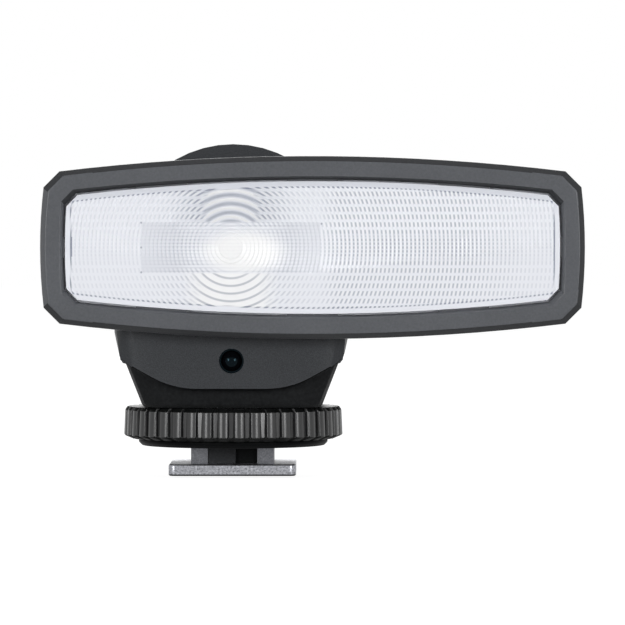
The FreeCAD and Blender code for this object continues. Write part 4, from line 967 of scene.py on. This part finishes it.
class FlashRing(bpy.types.Operator):
    """Models the ribbed locking ring and dresses the pressure plate"""

    bl_idname = "flash.ring"
    bl_label = "Locking ring"

    def execute(self, context):
        sizes, colours = context.scene.flash_sizes, context.scene.flash_colours
        glossy = grained_plastic("glossy moulded ABS", colours.ring, 0.3, 0.5, 0.01, 0.5, 0.1)
        low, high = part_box("lock_ring")
        middle = (low + high) / 2
        bpy.ops.object.select_all(action="DESELECT")
        bpy.ops.mesh.primitive_cylinder_add(
            vertices=RING_RIBS * RIB_STEPS, radius=RING_TIP_R * MM, depth=(RING_RIB_TOP - RING_RIB_LOW) * MM,
            end_fill_type="NOTHING", location=(0.0, 0.0, (RING_RIB_TOP + RING_RIB_LOW) / 2 * MM),
        )
        ring = context.object
        ring.name = "ring"
        settle(ring)
        pitch = 2 * math.pi / RING_RIBS

        def step_of(vertex):
            """How many steps a vertex lies from the middle of its rib."""
            turns = math.atan2(vertex.co.y, vertex.co.x) / pitch
            return round(abs(turns - round(turns)) * RIB_STEPS)

        def in_bore(vertex):
            """Vertices of the smooth bore."""
            return vertex.co.xy.length < RING_INSIDE * MM

        def rib_ends(middle, edge):
            """Outer edges at both ends of the ribs."""
            at_end = min(abs(middle.z - z * MM) for z in (RING_RIB_LOW, RING_RIB_TOP)) < TOUCH
            return at_end and middle.xy.length > RING_TOP_R * MM

        # Each rib is a round lobe with steep sides, so the vertices beside its middle are drawn in
        shrinks = {}
        for step in range(1, RIB_STEPS // 2 + 1):
            aside = RING_TIP_R * pitch * step / RIB_STEPS
            drop = RIB_ROUND - math.sqrt(RIB_ROUND**2 - aside**2)
            if aside > RIB_HALF_W:
                drop = RING_TIP_R - RING_ROOT_R
            shrinks[step] = 1 - drop / RING_TIP_R
        bpy.ops.object.mode_set(mode="EDIT")
        for step, shrink in shrinks.items():
            choose(ring, "VERT", lambda v, step=step: step_of(v) == step)
            bpy.ops.transform.resize(value=(shrink, shrink, 1.0), center_override=middle)
        # The ribs lean in a little towards the top, which is the draft of their mould
        choose(ring, "VERT", lambda v: v.co.z > middle.z)
        bpy.ops.transform.resize(value=(RIB_DRAFT, RIB_DRAFT, 1.0), center_override=middle)
        # Both ends run in on a bevel, then flat to the bore, where the lobes are taken out again
        for edge_z, end_z, end_r, root_r in (
            (RING_RIB_TOP, high.z / MM, RING_TOP_R, RING_ROOT_R * RIB_DRAFT),
            (RING_RIB_LOW, low.z / MM, RING_LOW_R, RING_ROOT_R),
        ):
            choose(ring, "VERT", lambda v, edge_z=edge_z: abs(v.co.z - edge_z * MM) < TOUCH)
            rise = (0.0, 0.0, (end_z - edge_z) * MM)
            bpy.ops.mesh.extrude_edges_move(TRANSFORM_OT_translate={"value": rise})
            bpy.ops.transform.resize(value=(end_r / root_r, end_r / root_r, 1.0), center_override=middle)
            bore = RING_BORE_R / (RING_TIP_R * end_r / RING_ROOT_R)
            bpy.ops.mesh.extrude_edges_move()
            bpy.ops.transform.resize(value=(bore, bore, 1.0), center_override=middle)
        for step, shrink in shrinks.items():
            choose(ring, "VERT", lambda v, step=step: step_of(v) == step and in_bore(v))
            bpy.ops.transform.resize(value=(1 / shrink, 1 / shrink, 1.0), center_override=middle)
        choose(ring, "VERT", in_bore)
        bpy.ops.mesh.bridge_edge_loops()
        bpy.ops.mesh.select_all(action="SELECT")
        bpy.ops.mesh.normals_make_consistent(inside=False)
        bpy.ops.object.mode_set(mode="OBJECT")
        round_edges(ring, sizes.ring_edge, 2, 20.0, rib_ends)
        smooth(ring, 46.0)
        stand_for(ring, glossy, "lock_ring")
        # Painted shade: the sloped faces at both ends of the ribs get a darker, nearly unshiny finish that
        # stands in for the shade over and under the ribs
        matt = grained_plastic("matt ABS with painted shade at the ring's ends", linear("0B0C0C"), 0.5, 0.3, 0.1, 0.03)
        second_finish(ring, matt, lambda f: 0.3 < abs(f.normal.z) < 0.97)

        painted = grained_plastic("painted steel", colours.plate, 0.5, 0.3, 0.1, 0.03)
        plate = copy_node("pressure_plate", "press_plate")
        round_edges(plate, 0.12, 2, 25.0, lambda m, e: m.xy.length > RING_INSIDE * MM)
        smooth(plate, 34.0)
        stand_for(plate, painted, "pressure_plate")
        return {"FINISHED"}


class FlashFoot(bpy.types.Operator):
    """Dresses the metal foot, its core and the centre contact"""

    bl_idname = "flash.foot"
    bl_label = "Foot"

    def execute(self, context):
        sizes, colours = context.scene.flash_sizes, context.scene.flash_colours
        metal = blasted_metal("blasted aluminium", colours.foot, 0.3, 0.3, 0.22, 0.7)

        def foot_edges(middle, edge):
            """Outer edges of the foot plate."""
            outside = abs(middle.x) > FOOT_EDGE_X * MM or abs(middle.y) > FOOT_EDGE_Y * MM
            return outside and middle.z < (FOOT_T + 0.1) * MM

        def height(face):
            """Height of a face's middle over the underside, in millimetres."""
            return face.calc_center_median().z / MM

        def core_front(middle, edge):
            """Upright front edges of the core: over 5 mm before its middle and over 5 mm tall."""
            return middle.y < -5 * MM and abs(edge.verts[0].co.z - edge.verts[1].co.z) > 5 * MM

        foot = copy_node("shoe_foot", "foot")
        round_edges(foot, sizes.metal_edge, 3, 25.0, foot_edges)
        smooth(foot, 34.0)
        stand_for(foot, metal, "shoe_foot")
        # Painted shade: the rounding along the lower edge is darker, standing in for the shadow under the
        # foot
        painted_edge_shade = blasted_metal("aluminium with painted shade on the lower edge", linear("2E2F31"), 0.4, 0.26, 0.1, 0.2)
        second_finish(foot, painted_edge_shade, lambda f: f.normal.z < -0.2 and height(f) < sizes.metal_edge + 0.05)
        # Painted light: the upper face is lighter, standing in for the bright surroundings that it reflects
        upper = blasted_metal("blasted aluminium with painted light on the upper face", linear("CDCED3"), 0.3, 0.26, 0.1, 0.1)
        second_finish(foot, upper, lambda f: f.normal.z > 0.9 and abs(height(f) - FOOT_T) < 0.1)
        # Painted shade: the uprights are darker, standing in for the shade under the ring
        inner = blasted_metal("blasted aluminium with painted shade on the uprights", linear("646569"), 0.32, 0.26, 0.22, 0.35)
        second_finish(foot, inner, lambda f: height(f) > FOOT_T + 0.1)

        black = grained_plastic("moulded nylon", colours.core, 0.45, 0.3, 0.2, 0.08)
        gilt = blasted_metal("gold plated brass", linear("B99445"), 0.25, 0.3, 0.15)
        pin_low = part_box("contact_pin")[0].z
        for node, name, finish, width, where in (
            ("foot_core", "core", black, 0.1, core_front),
            ("contact_insulator", "insulator", black, 0.1, lambda m, e: m.z < TOUCH),
            ("contact_pin", "pin", gilt, 0.3, lambda m, e: m.z < pin_low + TOUCH),
        ):
            piece = copy_node(node, name)
            round_edges(piece, width, 3, 25.0, where)
            smooth(piece, 34.0)
            stand_for(piece, finish, node)
            if name == "core":
                # Painted shade: the set-back right half of the core is painted darker
                shade = linear("101112")
                painted_half_shade = grained_plastic("black nylon with painted shade on the set-back half", shade, 0.5, 0.3, 0.2, 0.04)
                second_finish(piece, painted_half_shade, lambda f: f.calc_center_median().x > CORE_STEP_X * MM)
        return {"FINISHED"}


class FlashSensor(bpy.types.Operator):
    """Models the domed sensor window"""

    bl_idname = "flash.sensor"
    bl_label = "Sensor"

    def execute(self, context):
        middle = (SENSOR_LOW + SENSOR_HIGH) / 2
        back = SENSOR_LOW.y + DOME_R * MM
        bpy.ops.object.select_all(action="DESELECT")
        bpy.ops.mesh.primitive_uv_sphere_add(
            segments=48, ring_count=24, radius=DOME_R * MM, location=(middle.x, back, middle.z),
            rotation=(math.pi / 2, 0.0, 0.0),
        )
        dome = context.object
        dome.name = "sensor_dome"
        settle(dome)
        bpy.ops.object.mode_set(mode="EDIT")
        bpy.ops.mesh.select_all(action="SELECT")
        # Cut a little behind its widest ring, because a cut through the vertices leaves the dome open
        bpy.ops.mesh.bisect(
            plane_co=(0.0, back + TOUCH, 0.0), plane_no=(0.0, 1.0, 0.0), use_fill=True, clear_outer=True
        )
        bpy.ops.object.mode_set(mode="OBJECT")

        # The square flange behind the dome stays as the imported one
        bpy.ops.object.select_all(action="DESELECT")
        side = SENSOR_HIGH.x - SENSOR_LOW.x
        flange_y = SENSOR_HIGH.y - DOME_FLANGE_T / 2 * MM
        bpy.ops.mesh.primitive_cube_add(size=1.0, location=(middle.x, flange_y, middle.z))
        flange = context.object
        bpy.ops.transform.resize(value=(side, DOME_FLANGE_T * MM, side))
        settle(flange)
        round_edges(flange, 0.1, 2, 25.0, lambda m, e: True)
        dome = join("sensor_dome", [dome, flange])
        smooth(dome, 60.0)

        stand_for(dome, coated_acrylic("coated dark acrylic"), "sensor_window")
        return {"FINISHED"}


class FlashControls(bpy.types.Operator):
    """Dresses the dial, the slider, the button and the sockets, and models the lamp"""

    bl_idname = "flash.controls"
    bl_label = "Controls"

    def execute(self, context):
        colours = context.scene.flash_colours
        dark = grained_plastic("matt moulded ABS", colours.controls, 0.4, 0.3, 0.2, 0.3)
        nickel = blasted_metal("nickel plated steel", linear("85878B"), 0.32, 0.3, 0.15, 0.05)
        left, right = CASE_LOW.x, CASE_HIGH.x
        # The last entry picks the edges that a hand or an eye meets: those at the back of the
        # controls and those of the sockets near the side of the case
        for node, name, finish, width, where in (
            ("power_dial", "dial", dark, 0.15, lambda m, e: m.y > DIAL_HIGH.y - 0.8 * MM),
            ("power_slider", "slider", dark, 0.12, lambda m, e: m.y > SLIDER_HIGH.y - TOUCH),
            ("test_button", "button", dark, 0.3, lambda m, e: m.y > BUTTON_HIGH.y - TOUCH),
            ("sync_socket", "trigger_socket", nickel, 0.12, lambda m, e: m.x < left + 0.6 * MM),
            ("usb_port", "charging_socket", nickel, 0.1, lambda m, e: m.x > right - 1.6 * MM),
        ):
            piece = copy_node(node, name)
            if name == "dial":
                # The ridge is lowered a little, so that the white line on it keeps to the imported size
                bpy.ops.object.mode_set(mode="EDIT")
                choose(piece, "VERT", lambda v: v.co.y > DIAL_HIGH.y - TOUCH)
                bpy.ops.transform.translate(value=(0.0, -POINTER_H * MM, 0.0))
                bpy.ops.object.mode_set(mode="OBJECT")
            round_edges(piece, width, 2, 25.0, where)
            smooth(piece, 34.0)
            stand_for(piece, finish, node)

        # Ready lamp: a post with a domed end
        middle = (LAMP_LOW + LAMP_HIGH) / 2
        inner, outer = Vector((middle.x, LAMP_LOW.y, middle.z)), Vector((middle.x, LAMP_HIGH.y, middle.z))
        lamp = post("lamp", LAMP_R * MM, inner, outer)
        round_edges(lamp, 0.4, 5, 60.0, lambda m, e: m.y > LAMP_HIGH.y - TOUCH)
        smooth(lamp, 40.0)
        stand_for(lamp, grained_plastic("red acrylic", linear("B3211C"), 0.15, 0.5, 0.05), "ready_lamp")
        return {"FINISHED"}


class FlashScrews(bpy.types.Operator):
    """Models the four case screws with a cross recess in each head"""

    bl_idname = "flash.screws"
    bl_label = "Case screws"

    def execute(self, context):
        black_zinc = blasted_metal("blackened steel", linear("303133"), 0.34, 0.2, 0.3)
        screws = []
        head_x, head_z = HEAD_MIDDLE.x / MM, HEAD_MIDDLE.z / MM - HEAD_SCREW_DROP
        for x, z, back, long in (
            (head_x - HEAD_SCREW_X, head_z, CASE_HIGH.y / MM, HEAD_SCREW_L),
            (head_x + HEAD_SCREW_X, head_z, CASE_HIGH.y / MM, HEAD_SCREW_L),
            (-POD_SCREW_X, POD_SCREW_Z, POD_HIGH.y / MM, POD_SCREW_L),
            (POD_SCREW_X, POD_SCREW_Z, POD_HIGH.y / MM, POD_SCREW_L),
        ):
            top = back - SCREW_SINK
            seat = back - SCREW_HEAD_T
            head = post("screw", SCREW_HEAD_R * MM, Vector((x, seat, z)) * MM, Vector((x, top, z)) * MM)
            round_edges(head, 0.25, 3, 60.0, lambda m, e, top=top: m.y > top * MM - TOUCH)
            for wide, tall in ((RECESS_W, RECESS_L), (RECESS_L, RECESS_W)):
                bpy.ops.object.select_all(action="DESELECT")
                bpy.ops.mesh.primitive_cube_add(size=1.0, location=Vector((x, top, z)) * MM)
                blade = context.object
                bpy.ops.transform.resize(value=(wide * MM, 2 * RECESS_H * MM, tall * MM))
                settle(blade)
                pick(head)
                recess = head.modifiers.new("recess", "BOOLEAN")
                recess.operation = "DIFFERENCE"
                recess.object = blade
                recess.solver = "EXACT"
                bpy.ops.object.modifier_apply(modifier=recess.name)
                bpy.data.objects.remove(blade)
            # The shaft runs a little way into its head, so that no gap shows between the two
            tip, root = Vector((x, seat - long, z)), Vector((x, seat + 0.05, z))
            screws += [head, post("shaft", SCREW_R * MM, tip * MM, root * MM, 16)]
        screws = join("screws", screws)
        smooth(screws, 34.0)
        stand_for(screws, black_zinc, "case_screws")
        return {"FINISHED"}


class FlashMarks(bpy.types.Operator):
    """Prints the numbers round the dial, the words at the slider and the dial's white line"""

    bl_idname = "flash.marks"
    bl_label = "Printed marks"

    def execute(self, context):
        sizes, colours = context.scene.flash_sizes, context.scene.flash_colours
        ink = grained_plastic("pad printed ink", colours.marks, 0.5, 0.3, 0.05)
        dial = (DIAL_LOW + DIAL_HIGH) / 2
        slider = (SLIDER_LOW + SLIDER_HIGH) / 2
        writing = []
        for number in range(7):
            turn = math.radians(NUMBER_STEP * number)
            x, z = dial.x - NUMBER_R * MM * math.sin(turn), dial.z + NUMBER_R * MM * math.cos(turn)
            spot = Vector((x, POD_HIGH.y, z))
            writing.append((str(number + 1), sizes.number_height, spot))
        # The words stand 1.6 mm beyond the slider's middle at both ends of its travel of 3.2 mm,
        # and it rests at OFF
        for word, aside in (("OFF", -1.6), ("ON", 4.8)):
            spot = Vector((slider.x + aside * MM, CASE_HIGH.y, slider.z + WORD_LIFT * MM))
            writing.append((word, WORD_H, spot))
        marks = []
        for word, size, spot in writing:
            bpy.ops.object.select_all(action="DESELECT")
            bpy.ops.object.text_add(location=spot, rotation=(math.pi / 2, 0.0, math.pi))
            text = context.object
            text.data.body = word
            text.data.size = size * MM * LETTER_SCALE
            text.data.align_x = "CENTER"
            text.data.align_y = "CENTER"
            text.data.extrude = 0.02 * MM
            bpy.ops.object.convert(target="MESH")
            marks.append(context.object)
            settle(marks[-1])
        # A white line on the dial's ridge points at the number
        bpy.ops.object.select_all(action="DESELECT")
        spot = (dial.x, DIAL_HIGH.y - POINTER_H / 2 * MM, dial.z + POINTER_Z * MM)
        bpy.ops.mesh.primitive_cube_add(size=1.0, location=spot)
        pointer = context.object
        pointer.name = "pointer"
        bpy.ops.transform.resize(value=(POINTER_W * MM, POINTER_H * MM, POINTER_L * MM))
        settle(pointer)
        round_edges(pointer, 0.2, 3, 60.0, lambda m, e: abs(e.verts[0].co.y - e.verts[1].co.y) > 0.03 * MM)
        ride_along(pointer, ink, "power_dial")
        ride_along(join("printed_marks", marks), ink, "housing")
        return {"FINISHED"}


class FlashInside(bpy.types.Operator):
    """Gives the inner pieces their finishes"""

    bl_idname = "flash.inside"
    bl_label = "Inner pieces"

    def execute(self, context):
        colours = context.scene.flash_colours
        finishes = {
            "bright_metal": blasted_metal("polished aluminium sheet", linear("D8DADD"), 0.15, 0.4, 0.1, 0.05),
            "spring_steel": blasted_metal("spring steel wire", linear("B9BABD"), 0.25, 0.2, 0.2),
            "foot_metal": blasted_metal("zinc plated steel", linear("A0A2A6"), 0.35, 0.25, 0.3),
            "screw_steel": blasted_metal("blackened screw steel", linear("2B2C2E"), 0.35, 0.2, 0.3),
            "cell_foil": blasted_metal("aluminium foil", linear("C9CACC"), 0.3, 0.6, 0.3),
            "white_plastic": grained_plastic("white polycarbonate", linear("E9EAEC"), 0.4, 0.3, 0.1),
            "dark_plastic": grained_plastic("glass filled nylon", colours.core, 0.5, 0.3, 0.2),
            "black_rubber": grained_plastic("moulded rubber", linear("1A1A1A"), 0.8, 0.25, 0.3),
            "board_green": grained_plastic("solder resist", linear("1E5A34"), 0.35, 0.5, 0.1),
            "coil_wrap": grained_plastic("amber polyimide tape", linear("B5762A"), 0.25, 0.5, 0.1),
            "capacitor_sleeve": grained_plastic("shrink sleeve", linear("22283C"), 0.25, 0.5, 0.1),
            "tube_glass": grained_plastic("quartz glass", linear("E4E8EA"), 0.08, 0.5, 0.02),
            "dark_window": grained_plastic("dark acrylic", linear("0A0B0D"), 0.1, 0.5, 0.02),
        }
        for name, node in NODES.items():
            finish = finishes.get(SLOT_OF[name])
            if not node.hide_render and finish:
                node.data.materials.clear()
                node.data.materials.append(finish)
        return {"FINISHED"}


class FlashPanel(bpy.types.Panel):
    """Sidebar panel that lists the pieces of the flash"""

    bl_idname = "VIEW3D_PT_flash"
    bl_label = "Camera flash"
    bl_space_type = "VIEW_3D"
    bl_region_type = "UI"
    bl_category = "Flash"

    def draw(self, context):
        layout = self.layout
        for operator in OPERATORS:
            layout.operator(operator.bl_idname)
        for group in (context.scene.flash_sizes, context.scene.flash_colours):
            box = layout.box()
            for name in group.__annotations__:
                box.prop(group, name)


GROUPS = (FlashSizes, FlashColours)
OPERATORS = (
    FlashStage, FlashHead, FlashLens, FlashNeck, FlashRing, FlashFoot, FlashSensor, FlashControls,
    FlashScrews, FlashMarks, FlashInside,
)


def register():
    for cls in (*GROUPS, *OPERATORS, FlashPanel):
        bpy.utils.register_class(cls)
    bpy.types.Scene.flash_sizes = bpy.props.PointerProperty(type=FlashSizes)
    bpy.types.Scene.flash_colours = bpy.props.PointerProperty(type=FlashColours)


def unregister():
    del bpy.types.Scene.flash_colours
    del bpy.types.Scene.flash_sizes
    for cls in reversed((*GROUPS, *OPERATORS, FlashPanel)):
        bpy.utils.unregister_class(cls)


def main():
    register()
    for operator in OPERATORS:
        group, name = operator.bl_idname.split(".")
        getattr(getattr(bpy.ops, group), name)()


if __name__ == "__main__":
    main()
